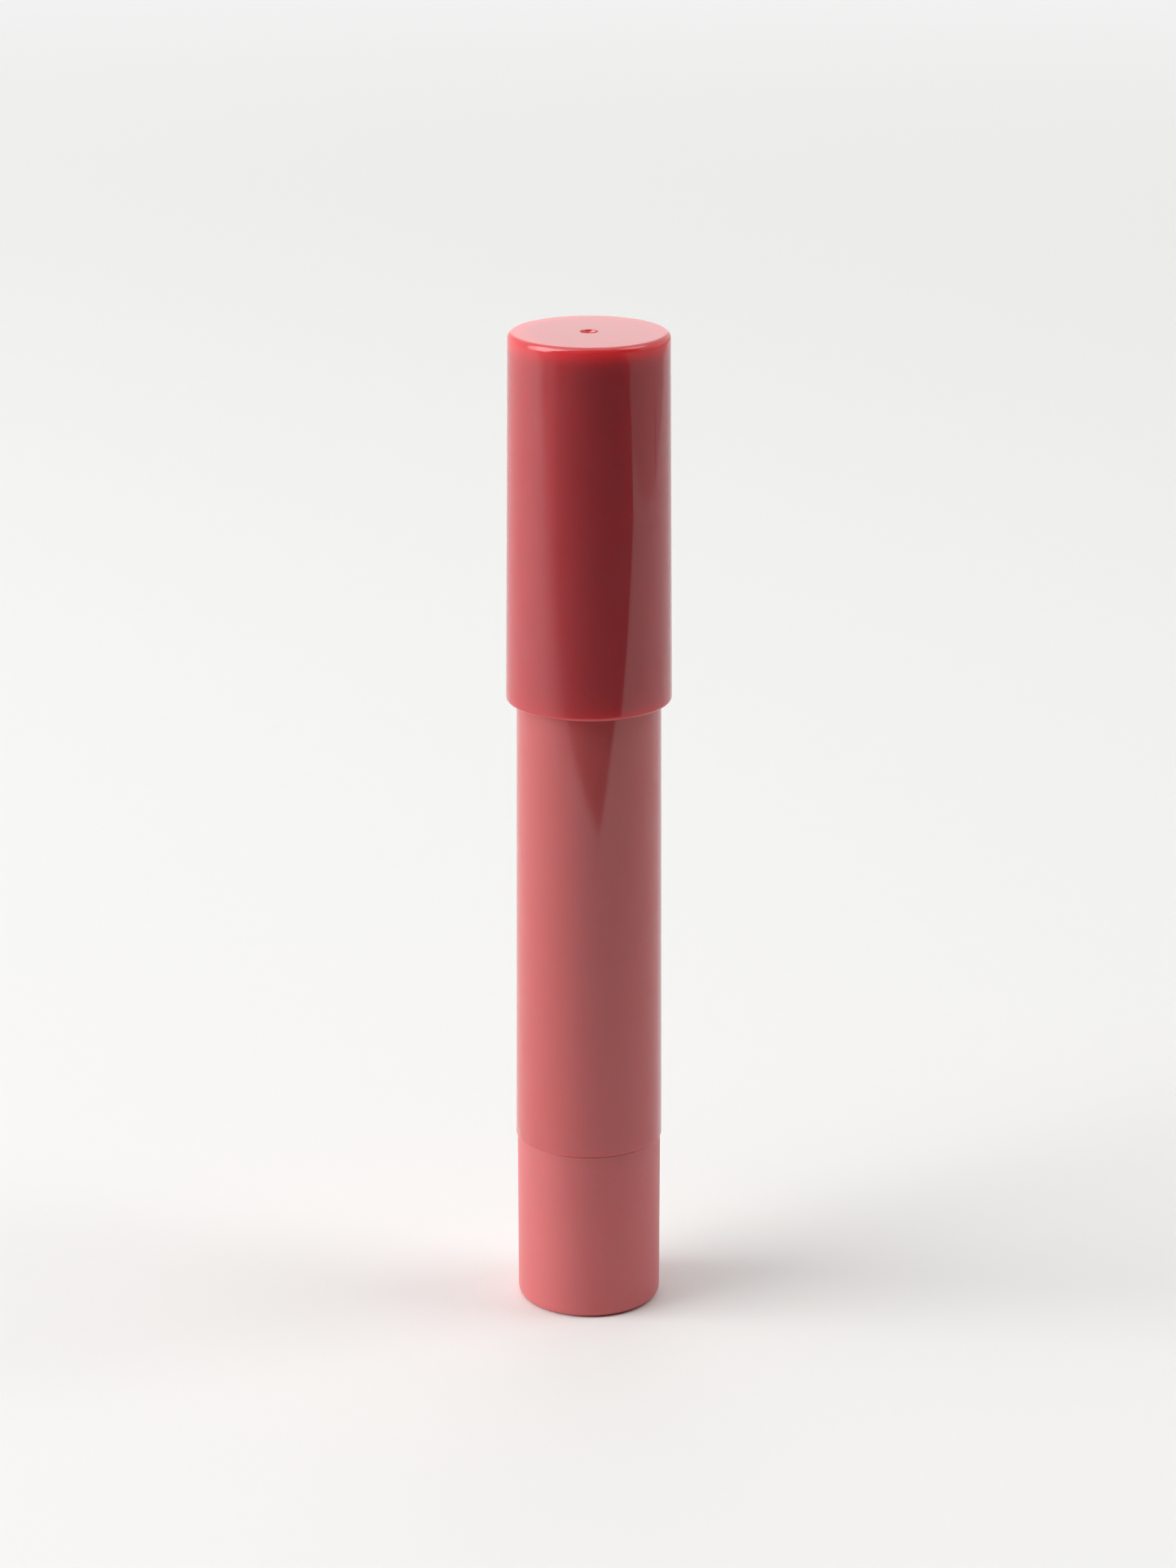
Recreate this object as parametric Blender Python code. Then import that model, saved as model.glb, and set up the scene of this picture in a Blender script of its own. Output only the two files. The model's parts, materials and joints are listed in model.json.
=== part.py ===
"""Twist-up lip color stick, standing on its knob, with the cap on and the colour wound down.

The knob turns a splined sleeve whose upper end is a nut. The nut drives a threaded stem with two
flats, which a keyed bush keeps from turning, so the cup and the stick of colour rise in the nozzle.
Lengths are in metres, heights run up the Z axis from the foot, and every piece shares that axis.
"""

import math

import bmesh
import bpy
from mathutils import Matrix, Vector

# Clearances
SEAT_GAP = 0.0003
RUNNING_GAP = 0.00035
SLIDING_GAP = 0.00025
RING_GAP = 0.00015
GRIP_GAP = 0.0002
THREAD_GAP = 0.00018
OVERRUN = 0.001
WELD = 1e-7

# Stick of colour
BULLET_RADIUS = 0.0048
BULLET_NOSE_LENGTH = 0.0088
BULLET_NOSE_POWER = 1.65
BULLET_TIP_INSET = 0.0004
BULLET_HEEL_FILLET = 0.0003

# Carrier cup
CUP_WALL = 0.0004
CUP_FLOOR = 0.001
CUP_DEPTH = 0.007
CUP_LIFT = 0.0005
CUP_RIM_FILLET = 0.00012
CUP_BOSS_HEIGHT = 0.0022
CUP_BOSS_WALL = 0.0005
CUP_SLIT_WIDTH = 0.0008
CUP_SLIT_DEPTH = 0.0042
CUP_FINGER_COUNT = 4

# Screw stem and its thread, which is left-handed
STEM_ROOT_RADIUS = 0.00225
STEM_THREAD_DEPTH = 0.00065
STEM_FLAT_CUT = 0.00025
STEM_PLUG_STEP = 0.0005
STEM_COLLAR_LENGTH = 0.0012
STEM_TIP_CHAMFER = 0.0009
STEM_END_GAP = 0.0008
THREAD_LEAD = 0.004
THREAD_START_COUNT = 2
THREAD_CREST_SHARE = 0.25
THREAD_FLANK_SHARE = 0.13

# Nozzle
NOZZLE_WALL = 0.0005
NOZZLE_FLANGE_SETBACK = 0.0003
NOZZLE_FLANGE_THICKNESS = 0.0008
NOZZLE_NECK_LENGTH = 0.0034
NOZZLE_NECK_STEP = 0.0003
NOZZLE_BEAD_HEIGHT = 0.0002
NOZZLE_BEAD_WIDTH = 0.0008
NOZZLE_NOSE_LENGTH = 0.0034
NOZZLE_LIP_WALL = 0.0007
NOZZLE_LIP_FILLET = 0.0003
NOZZLE_SHOULDER_DROP = 0.0018
NOZZLE_SHOULDER_LENGTH = 0.0007
NOZZLE_KEY_COUNT = 4
NOZZLE_KEY_WIDTH = 0.0009
NOZZLE_KEY_LENGTH = 0.005
NOZZLE_KEY_HEIGHT = 0.00045

# Barrel
BARREL_LENGTH = 0.04904
BARREL_WALL_LOWER = 0.001208
BARREL_WALL_UPPER = 0.000959
BARREL_FOOT_FILLET = 0.00012
BARREL_TOP_FILLET = 0.0003
BARREL_LEAD_IN = 0.0003
LEDGE_HEIGHT = 0.0163
LEDGE_THICKNESS = 0.0008
LEDGE_WIDTH = 0.00155

# Guide bush
BUSH_HEIGHT = 0.003
BUSH_CHAMFER = 0.0003
BUSH_LUG_WIDTH = 0.002
BUSH_LUG_HEIGHT = 0.0009
BUSH_LUG_THICKNESS = 0.0004
BUSH_LUG_SETBACK = 0.0001
BUSH_LUG_COUNT = 2

# Drive sleeve
SLEEVE_WALL = 0.0016
SLEEVE_NUT_HEIGHT = 0.004
SLEEVE_TOP_CHAMFER = 0.0004
SLEEVE_BEAD_DROP = 0.0062
SLEEVE_BEAD_HEIGHT = 0.00055
SLEEVE_BEAD_WIDTH = 0.0009
SPLINE_COUNT = 12
SPLINE_LENGTH = 0.011
SPLINE_SLOT_DEPTH = 0.0005
SPLINE_RIB_WIDTH = 0.001
SPLINE_RIB_HEIGHT = 0.0005

# Drag ring
RING_SECTION_RADIUS = 0.0005
RING_HEIGHT = 0.0042

# Knob
BASE_HEIGHT = 0.01816
BASE_WALL_TOP = 0.001106
BASE_WALL_FOOT = 0.001071
BASE_FLOOR = 0.0014
BASE_FOOT_FILLET = 0.0008
BASE_TOP_FILLET = 0.00012
BASE_RECESS_DEPTH = 0.00035
BASE_REST_WIDTH = 0.0011
BASE_GATE_RADIUS = 0.0007
BASE_GATE_DEPTH = 0.00025

# Cap
CAP_LENGTH = 0.03814
CAP_OVERLAP = 0.00164
CAP_WALL = 0.000774
CAP_DRAFT = 0.000326
CAP_TOP_THICKNESS = 0.0016
CAP_TOP_FILLET = 0.00055
CAP_RIM_FILLET = 0.00025
CAP_INNER_FILLET = 0.0006
CAP_GATE_RADIUS = 0.00092
CAP_GATE_DEPTH = 0.0004
CAP_NUB_RADIUS = 0.0003
CAP_NUB_OFFSET = 0.00036
CAP_NUB_SINK = 0.00006
CAP_RIB_COUNT = 6
CAP_RIB_WIDTH = 0.0006
CAP_RIB_HEIGHT = 0.0006

# Cap liner
LINER_LENGTH = 0.0154
LINER_WALL = 0.00045
LINER_LAND_GAP = 0.0001
LINER_LAND_WIDTH = 0.0016
LINER_CLICK_DEPTH = 0.0002

# Facets round one turn and along one fillet
OUTER_FACETS = 48
INNER_FACETS = 36
THREAD_FACETS = 20
FLATTED_ARC_FACETS = 8
RING_SECTION_FACETS = 8
FILLET_STEPS = 3
NOSE_STEPS = 8
SMOOTH_ANGLE = math.radians(30)

# Radii, from the colour outwards
CUP_BORE = BULLET_RADIUS + GRIP_GAP
CUP_RADIUS = CUP_BORE + CUP_WALL
NOZZLE_BORE = CUP_RADIUS + SLIDING_GAP
NOZZLE_RADIUS = NOZZLE_BORE + NOZZLE_WALL
NOZZLE_MOUTH_BORE = BULLET_RADIUS + SLIDING_GAP
NECK_RADIUS = NOZZLE_RADIUS + NOZZLE_NECK_STEP
NECK_BEAD_RADIUS = NECK_RADIUS + NOZZLE_BEAD_HEIGHT
BARREL_BORE = NOZZLE_RADIUS + SEAT_GAP
BARREL_LOWER_RADIUS = BARREL_BORE + BARREL_WALL_LOWER
BARREL_UPPER_RADIUS = BARREL_BORE + BARREL_WALL_UPPER
FLANGE_RADIUS = BARREL_UPPER_RADIUS - NOZZLE_FLANGE_SETBACK
KEY_RADIUS = NOZZLE_RADIUS + NOZZLE_KEY_HEIGHT
LEDGE_RADIUS = BARREL_BORE - LEDGE_WIDTH
BUSH_RADIUS = BARREL_BORE - SEAT_GAP
SLEEVE_RADIUS = BARREL_BORE - RUNNING_GAP
SLEEVE_BORE = SLEEVE_RADIUS - SLEEVE_WALL
SLEEVE_BEAD_RADIUS = SLEEVE_RADIUS + SLEEVE_BEAD_HEIGHT
SNAP_GROOVE_RADIUS = SLEEVE_BEAD_RADIUS + SEAT_GAP
RING_RADIUS = BARREL_BORE - RING_GAP - RING_SECTION_RADIUS
RING_GROOVE_RADIUS = RING_RADIUS - RING_SECTION_RADIUS - RING_GAP
RING_GROOVE_HALF_WIDTH = RING_SECTION_RADIUS + RING_GAP
BASE_BORE = SLEEVE_RADIUS + SEAT_GAP
BASE_TOP_RADIUS = BASE_BORE + BASE_WALL_TOP
BASE_FOOT_RADIUS = BASE_BORE + BASE_WALL_FOOT
STEM_CREST_RADIUS = STEM_ROOT_RADIUS + STEM_THREAD_DEPTH
STEM_FLAT = STEM_ROOT_RADIUS - STEM_FLAT_CUT
PLUG_RADIUS = STEM_FLAT - STEM_PLUG_STEP
SOCKET_RADIUS = PLUG_RADIUS + SEAT_GAP
BOSS_RADIUS = SOCKET_RADIUS + CUP_BOSS_WALL

# Heights, from the foot up
BARREL_BOTTOM = BASE_HEIGHT + SEAT_GAP
BARREL_TOP = BARREL_BOTTOM + BARREL_LENGTH
LEDGE_BOTTOM = BARREL_BOTTOM + LEDGE_HEIGHT
LEDGE_TOP = LEDGE_BOTTOM + LEDGE_THICKNESS
SLEEVE_BOTTOM = BASE_FLOOR + SEAT_GAP
SLEEVE_TOP = LEDGE_BOTTOM - RUNNING_GAP
NUT_BOTTOM = SLEEVE_TOP - SLEEVE_NUT_HEIGHT
SNAP_MIDDLE = LEDGE_BOTTOM - SLEEVE_BEAD_DROP
RING_MIDDLE = BARREL_BOTTOM + RING_HEIGHT
BUSH_BOTTOM = LEDGE_TOP + SEAT_GAP
BUSH_TOP = BUSH_BOTTOM + BUSH_HEIGHT
NOZZLE_BOTTOM = BUSH_TOP + SEAT_GAP
FLANGE_BOTTOM = BARREL_TOP + SEAT_GAP
FLANGE_TOP = FLANGE_BOTTOM + NOZZLE_FLANGE_THICKNESS
NECK_TOP = FLANGE_TOP + NOZZLE_NECK_LENGTH
MOUTH = NECK_TOP + NOZZLE_NOSE_LENGTH
BEAD_MIDDLE = (FLANGE_TOP + NECK_TOP) / 2
CUP_BOTTOM = BUSH_TOP + CUP_LIFT
CUP_INSIDE = CUP_BOTTOM + CUP_FLOOR
CUP_RIM = CUP_INSIDE + CUP_DEPTH
BOSS_TOP = CUP_INSIDE + CUP_BOSS_HEIGHT
SOCKET_TOP = BOSS_TOP - CUP_BOSS_WALL
STEM_BOTTOM = BASE_FLOOR + STEM_END_GAP
STEM_TOP = CUP_BOTTOM - SEAT_GAP
PLUG_TOP = SOCKET_TOP - SEAT_GAP
BULLET_BOTTOM = CUP_INSIDE + SEAT_GAP
BULLET_TIP = MOUTH - BULLET_TIP_INSET
CAP_RIM = BARREL_TOP - CAP_OVERLAP
CAP_TOP = CAP_RIM + CAP_LENGTH
CAP_CEILING = CAP_TOP - CAP_TOP_THICKNESS
LINER_BOTTOM = FLANGE_TOP + SEAT_GAP
LINER_TOP = LINER_BOTTOM + LINER_LENGTH

# Finishes: sRGB colour, roughness
CAP_PLASTIC = ("#b8565b", 0.12)
BARREL_PLASTIC = ("#b2585a", 0.25)
KNOB_PLASTIC = ("#b55c5e", 0.45)
NOZZLE_PLASTIC = ("#b2585a", 0.3)
LINER_PLASTIC = ("#eee6e2", 0.4)
MECHANISM_PLASTIC = ("#efefec", 0.4)
RING_RUBBER = ("#2b2b2b", 0.7)
LIP_COLOUR = ("#a8484f", 0.3)


def clear_scene():
    for obj in list(bpy.data.objects):
        bpy.data.objects.remove(obj, do_unlink=True)


def linear(hex_colour):
    """The linear RGBA of an sRGB hex colour."""
    channels = [int(hex_colour[i : i + 2], 16) / 255 for i in (1, 3, 5)]
    return [c / 12.92 if c <= 0.04045 else ((c + 0.055) / 1.055) ** 2.4 for c in channels] + [1.0]


def finish(obj, look):
    """Gives the object a material of its own and smooth round faces."""
    colour, roughness = look
    material = bpy.data.materials.new(obj.name + "_finish")
    material.use_nodes = True
    shader = material.node_tree.nodes["Principled BSDF"]
    shader.inputs["Base Color"].default_value = linear(colour)
    shader.inputs["Roughness"].default_value = roughness
    shader.inputs["Metallic"].default_value = 0.0
    material.diffuse_color = linear(colour)
    obj.data.materials.append(material)
    obj.data.shade_smooth()
    obj.data.set_sharp_from_angle(angle=SMOOTH_ANGLE)
    return obj


def object_from(name, bm, height=0.0):
    """Turns the bmesh into an object whose origin stands on the axis at the height."""
    bmesh.ops.recalc_face_normals(bm, faces=bm.faces)
    mesh = bpy.data.meshes.new(name)
    bm.to_mesh(mesh)
    bm.free()
    obj = bpy.data.objects.new(name, mesh)
    obj.location.z = height
    bpy.context.scene.collection.objects.link(obj)
    return obj


def fillet_points(before, corner, after, radius):
    """Points of the arc that rounds a corner, no larger than the sides on either hand allow."""
    back = before - corner
    ahead = after - corner
    half = back.angle(ahead) / 2
    reach = min(radius / math.tan(half), back.length / 2, ahead.length / 2)
    radius = reach * math.tan(half)
    centre = corner + (back.normalized() + ahead.normalized()).normalized() * radius / math.sin(half)
    arm = corner + back.normalized() * reach - centre
    sweep = math.pi - 2 * half
    turn = math.copysign(sweep, back.x * ahead.y - back.y * ahead.x) * -1
    points = []
    for step in range(FILLET_STEPS + 1):
        angle = turn * step / FILLET_STEPS
        points.append(centre + Matrix.Rotation(angle, 2) @ arm)
    return points


def outline_points(corners):
    """(radius, height) points of an outline. A corner with a third value is rounded to that radius."""
    places = [Vector(corner[:2]) for corner in corners]
    points = []
    for index, corner in enumerate(corners):
        if len(corner) == 2:
            points.append(places[index])
            continue
        before = places[index - 1]
        after = places[(index + 1) % len(places)]
        points.extend(fillet_points(before, places[index], after, corner[2]))
    return points


def turned(name, corners, facets, origin=0.0):
    """A solid of revolution. An outline that starts and ends on the axis is left open there."""
    points = outline_points(corners)
    bm = bmesh.new()
    verts = [bm.verts.new((point.x, 0, point.y - origin)) for point in points]
    edges = [bm.edges.new(pair) for pair in zip(verts, verts[1:])]
    if corners[0][0] > 0:
        edges.append(bm.edges.new((verts[-1], verts[0])))
    bmesh.ops.spin(
        bm,
        geom=verts + edges,
        cent=(0, 0, 0),
        axis=(0, 0, 1),
        angle=2 * math.pi,
        steps=facets,
        use_merge=False,
    )
    bmesh.ops.remove_doubles(bm, verts=bm.verts, dist=WELD)
    return object_from(name, bm, origin)


def spokes(name, count, inner, outer, width, bottom, top):
    """Blocks set evenly round the axis, the first along +X, as one helper object."""
    bm = bmesh.new()
    for index in range(count):
        made = bmesh.ops.create_cube(bm, size=1)["verts"]
        size = Matrix.Diagonal((outer - inner, width, top - bottom, 1))
        place = Matrix.Translation(((inner + outer) / 2, 0, (bottom + top) / 2))
        spin = Matrix.Rotation(2 * math.pi * index / count, 4, "Z")
        bmesh.ops.transform(bm, matrix=spin @ place @ size, verts=made)
    return object_from(name, bm)


def combine(target, helper, operation):
    """Cuts, joins or trims the target with a helper, which is kept out of renders."""
    helper.hide_render = True
    helper.display_type = "WIRE"
    helper.parent = target.parent
    modifier = target.modifiers.new(helper.name, "BOOLEAN")
    modifier.operation = operation
    modifier.solver = "EXACT"
    modifier.object = helper
    return target


def bead(radius, height, middle, width):
    """Corners of a snap bead that stands out of a wall, from below to above."""
    half = width / 2
    return [
        (radius, middle - half),
        (radius + height, middle - half / 2),
        (radius + height, middle + half / 2),
        (radius, middle + half),
    ]


def barrel_radius(height):
    """The barrel's outer radius, which tapers from the seam to the cap."""
    share = (height - BARREL_BOTTOM) / BARREL_LENGTH
    return BARREL_LOWER_RADIUS + (BARREL_UPPER_RADIUS - BARREL_LOWER_RADIUS) * share


CAP_RIM_BORE = barrel_radius(CAP_RIM) + SEAT_GAP
CAP_RIM_RADIUS = CAP_RIM_BORE + CAP_WALL


def cap_bore(height):
    """The cap's inner radius, which follows the outer draft."""
    return CAP_RIM_BORE - CAP_DRAFT * (height - CAP_RIM) / CAP_LENGTH


def thread_solid(name, bottom, top, root, crest, crest_width, flank_width):
    """A closed left-handed threaded rod that reaches a lead past both ends, to be trimmed."""
    pitch = THREAD_LEAD / THREAD_START_COUNT
    root_width = pitch - crest_width - 2 * flank_width
    section = [
        (root, -root_width / 2),
        (root, root_width / 2),
        (crest, root_width / 2 + flank_width),
        (crest, root_width / 2 + flank_width + crest_width),
    ]
    first = math.floor((bottom - THREAD_LEAD - NUT_BOTTOM) / pitch)
    last = math.ceil((top + 2 * THREAD_LEAD - NUT_BOTTOM) / pitch)
    bm = bmesh.new()
    verts = []
    for turn in range(first, last):
        verts.extend(bm.verts.new((radius, 0, turn * pitch + height)) for radius, height in section)
    edges = [bm.edges.new(pair) for pair in zip(verts, verts[1:])]
    bmesh.ops.spin(
        bm,
        geom=verts + edges,
        cent=(0, 0, 0),
        axis=(0, 0, 1),
        dvec=(0, 0, -THREAD_LEAD / THREAD_FACETS),
        angle=2 * math.pi,
        steps=THREAD_FACETS,
        use_merge=False,
    )
    bmesh.ops.remove_doubles(bm, verts=bm.verts, dist=WELD)
    heights = [vert.co.z for vert in bm.verts]
    middle = (min(heights) + max(heights)) / 2
    poles = [bm.verts.new((0, 0, min(heights))), bm.verts.new((0, 0, max(heights)))]
    for edge in [edge for edge in bm.edges if len(edge.link_faces) == 1]:
        pole = poles[edge.verts[0].co.z > middle]
        bm.faces.new((*edge.verts, pole))
    return object_from(name, bm, NUT_BOTTOM)


def double_d(name, radius, flat, bottom, top):
    """A rod with two flats, square to Y."""
    corner = math.asin(flat / radius)
    arc = [
        corner * (2 * step / FLATTED_ARC_FACETS - 1) for step in range(FLATTED_ARC_FACETS + 1)
    ]
    angles = arc + [math.pi + angle for angle in arc]
    bm = bmesh.new()
    ring = [bm.verts.new((radius * math.cos(a), radius * math.sin(a), bottom)) for a in angles]
    face = bm.faces.new(ring)
    lifted = bmesh.ops.extrude_face_region(bm, geom=[face])["geom"]
    moved = [item for item in lifted if isinstance(item, bmesh.types.BMVert)]
    bmesh.ops.translate(bm, vec=(0, 0, top - bottom), verts=moved)
    return object_from(name, bm)


def thread_widths():
    """Widths of the crest and of one flank along the axis."""
    pitch = THREAD_LEAD / THREAD_START_COUNT
    return pitch * THREAD_CREST_SHARE, pitch * THREAD_FLANK_SHARE


def add_barrel(parent):
    groove = bead(
        BARREL_BORE,
        SNAP_GROOVE_RADIUS - BARREL_BORE,
        SNAP_MIDDLE,
        SLEEVE_BEAD_WIDTH + 2 * RUNNING_GAP,
    )
    corners = [
        (BARREL_BORE + BARREL_LEAD_IN, BARREL_BOTTOM),
        (BARREL_LOWER_RADIUS, BARREL_BOTTOM, BARREL_FOOT_FILLET),
        (BARREL_UPPER_RADIUS, BARREL_TOP, BARREL_TOP_FILLET),
        (BARREL_BORE, BARREL_TOP),
        (BARREL_BORE, LEDGE_TOP),
        (LEDGE_RADIUS, LEDGE_TOP),
        (LEDGE_RADIUS, LEDGE_BOTTOM),
        (BARREL_BORE, LEDGE_BOTTOM),
        *reversed(groove),
        (BARREL_BORE, BARREL_BOTTOM + BARREL_LEAD_IN),
    ]
    barrel = turned("barrel", corners, OUTER_FACETS, BARREL_BOTTOM)
    barrel.parent = parent
    slots = spokes(
        "barrel_key_slots",
        NOZZLE_KEY_COUNT,
        NOZZLE_RADIUS,
        KEY_RADIUS + SEAT_GAP / 2,
        NOZZLE_KEY_WIDTH + 2 * SEAT_GAP,
        BARREL_TOP - NOZZLE_KEY_LENGTH - SEAT_GAP,
        BARREL_TOP + OVERRUN,
    )
    return finish(combine(barrel, slots, "DIFFERENCE"), BARREL_PLASTIC)


def add_nozzle(parent):
    shoulder_top = MOUTH - NOZZLE_SHOULDER_DROP
    corners = [
        (NOZZLE_BORE, NOZZLE_BOTTOM),
        (NOZZLE_RADIUS, NOZZLE_BOTTOM),
        (NOZZLE_RADIUS, FLANGE_BOTTOM),
        (FLANGE_RADIUS, FLANGE_BOTTOM),
        (FLANGE_RADIUS, FLANGE_TOP),
        (NECK_RADIUS, FLANGE_TOP),
        *bead(NECK_RADIUS, NOZZLE_BEAD_HEIGHT, BEAD_MIDDLE, NOZZLE_BEAD_WIDTH),
        (NECK_RADIUS, NECK_TOP),
        (NOZZLE_MOUTH_BORE + NOZZLE_LIP_WALL, MOUTH, NOZZLE_LIP_FILLET),
        (NOZZLE_MOUTH_BORE, MOUTH),
        (NOZZLE_MOUTH_BORE, shoulder_top),
        (NOZZLE_BORE, shoulder_top - NOZZLE_SHOULDER_LENGTH),
    ]
    nozzle = turned("nozzle", corners, INNER_FACETS, NOZZLE_BOTTOM)
    nozzle.parent = parent
    keys = spokes(
        "nozzle_keys",
        NOZZLE_KEY_COUNT,
        NOZZLE_BORE + NOZZLE_WALL / 2,
        KEY_RADIUS,
        NOZZLE_KEY_WIDTH,
        BARREL_TOP - NOZZLE_KEY_LENGTH,
        FLANGE_BOTTOM + NOZZLE_FLANGE_THICKNESS / 2,
    )
    notches = spokes(
        "nozzle_notches",
        BUSH_LUG_COUNT,
        NOZZLE_BORE - OVERRUN,
        NOZZLE_RADIUS + OVERRUN,
        BUSH_LUG_WIDTH + 2 * SEAT_GAP,
        NOZZLE_BOTTOM - OVERRUN,
        BUSH_TOP + BUSH_LUG_HEIGHT + SEAT_GAP,
    )
    combine(nozzle, keys, "UNION")
    return finish(combine(nozzle, notches, "DIFFERENCE"), NOZZLE_PLASTIC)


def add_guide_bush(parent):
    corners = [
        (0, BUSH_BOTTOM),
        (BUSH_RADIUS - BUSH_CHAMFER, BUSH_BOTTOM),
        (BUSH_RADIUS, BUSH_BOTTOM + BUSH_CHAMFER),
        (BUSH_RADIUS, BUSH_TOP),
        (0, BUSH_TOP),
    ]
    bush = turned("guide_bush", corners, INNER_FACETS, BUSH_BOTTOM)
    bush.parent = parent
    lugs = spokes(
        "bush_lugs",
        BUSH_LUG_COUNT,
        BUSH_RADIUS - BUSH_LUG_SETBACK - BUSH_LUG_THICKNESS,
        BUSH_RADIUS - BUSH_LUG_SETBACK,
        BUSH_LUG_WIDTH,
        BUSH_TOP - BUSH_CHAMFER,
        BUSH_TOP + BUSH_LUG_HEIGHT,
    )
    hole = double_d(
        "bush_hole",
        STEM_CREST_RADIUS + SLIDING_GAP,
        STEM_FLAT + SLIDING_GAP,
        BUSH_BOTTOM - OVERRUN,
        BUSH_TOP + OVERRUN,
    )
    combine(bush, lugs, "UNION")
    return finish(combine(bush, hole, "DIFFERENCE"), MECHANISM_PLASTIC)


def add_twist_base(parent):
    rest_radius = BASE_FOOT_RADIUS - BASE_FOOT_FILLET - BASE_REST_WIDTH
    corners = [
        (0, BASE_RECESS_DEPTH + BASE_GATE_DEPTH),
        (BASE_GATE_RADIUS, BASE_RECESS_DEPTH),
        (rest_radius, BASE_RECESS_DEPTH),
        (rest_radius + BASE_RECESS_DEPTH, 0),
        (BASE_FOOT_RADIUS, 0, BASE_FOOT_FILLET),
        (BASE_TOP_RADIUS, BASE_HEIGHT, BASE_TOP_FILLET),
        (BASE_BORE, BASE_HEIGHT),
        (BASE_BORE, BASE_FLOOR),
        (0, BASE_FLOOR),
    ]
    base = turned("twist_base", corners, OUTER_FACETS)
    base.parent = parent
    ribs = spokes(
        "base_spline_ribs",
        SPLINE_COUNT,
        BASE_BORE - SPLINE_RIB_HEIGHT,
        BASE_BORE + BASE_WALL_FOOT / 2,
        SPLINE_RIB_WIDTH,
        BASE_FLOOR / 2,
        SLEEVE_BOTTOM + SPLINE_LENGTH - SEAT_GAP,
    )
    return finish(combine(base, ribs, "UNION"), KNOB_PLASTIC)


def add_drive_sleeve(parent):
    corners = [
        (0, NUT_BOTTOM),
        (SLEEVE_BORE, NUT_BOTTOM),
        (SLEEVE_BORE, SLEEVE_BOTTOM),
        (SLEEVE_RADIUS, SLEEVE_BOTTOM),
        (SLEEVE_RADIUS, RING_MIDDLE - RING_GROOVE_HALF_WIDTH),
        (RING_GROOVE_RADIUS, RING_MIDDLE - RING_GROOVE_HALF_WIDTH),
        (RING_GROOVE_RADIUS, RING_MIDDLE + RING_GROOVE_HALF_WIDTH),
        (SLEEVE_RADIUS, RING_MIDDLE + RING_GROOVE_HALF_WIDTH),
        *bead(SLEEVE_RADIUS, SLEEVE_BEAD_HEIGHT, SNAP_MIDDLE, SLEEVE_BEAD_WIDTH),
        (SLEEVE_RADIUS, SLEEVE_TOP - SLEEVE_TOP_CHAMFER),
        (SLEEVE_RADIUS - SLEEVE_TOP_CHAMFER, SLEEVE_TOP),
        (0, SLEEVE_TOP),
    ]
    sleeve = turned("drive_sleeve", corners, INNER_FACETS, SLEEVE_BOTTOM)
    sleeve.parent = parent
    crest, flank = thread_widths()
    thread = thread_solid(
        "nut_thread",
        NUT_BOTTOM - OVERRUN,
        SLEEVE_TOP + OVERRUN,
        STEM_ROOT_RADIUS + THREAD_GAP,
        STEM_CREST_RADIUS + THREAD_GAP,
        crest + 2 * THREAD_GAP,
        flank,
    )
    slots = spokes(
        "sleeve_spline_slots",
        SPLINE_COUNT,
        BASE_BORE - SPLINE_RIB_HEIGHT - SEAT_GAP,
        SLEEVE_RADIUS + OVERRUN,
        SPLINE_RIB_WIDTH + 2 * SEAT_GAP,
        SLEEVE_BOTTOM - OVERRUN,
        SLEEVE_BOTTOM + SPLINE_LENGTH,
    )
    combine(sleeve, thread, "DIFFERENCE")
    return finish(combine(sleeve, slots, "DIFFERENCE"), MECHANISM_PLASTIC)


def add_drag_ring(parent):
    bm = bmesh.new()
    section = []
    for step in range(RING_SECTION_FACETS):
        angle = 2 * math.pi * step / RING_SECTION_FACETS
        radius = RING_RADIUS + RING_SECTION_RADIUS * math.cos(angle)
        section.append(bm.verts.new((radius, 0, RING_SECTION_RADIUS * math.sin(angle))))
    edges = [bm.edges.new((section[i - 1], section[i])) for i in range(len(section))]
    bmesh.ops.spin(
        bm,
        geom=section + edges,
        cent=(0, 0, 0),
        axis=(0, 0, 1),
        angle=2 * math.pi,
        steps=INNER_FACETS,
        use_merge=False,
    )
    bmesh.ops.remove_doubles(bm, verts=bm.verts, dist=WELD)
    ring = object_from("drag_ring", bm, RING_MIDDLE)
    ring.parent = parent
    return finish(ring, RING_RUBBER)


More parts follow.
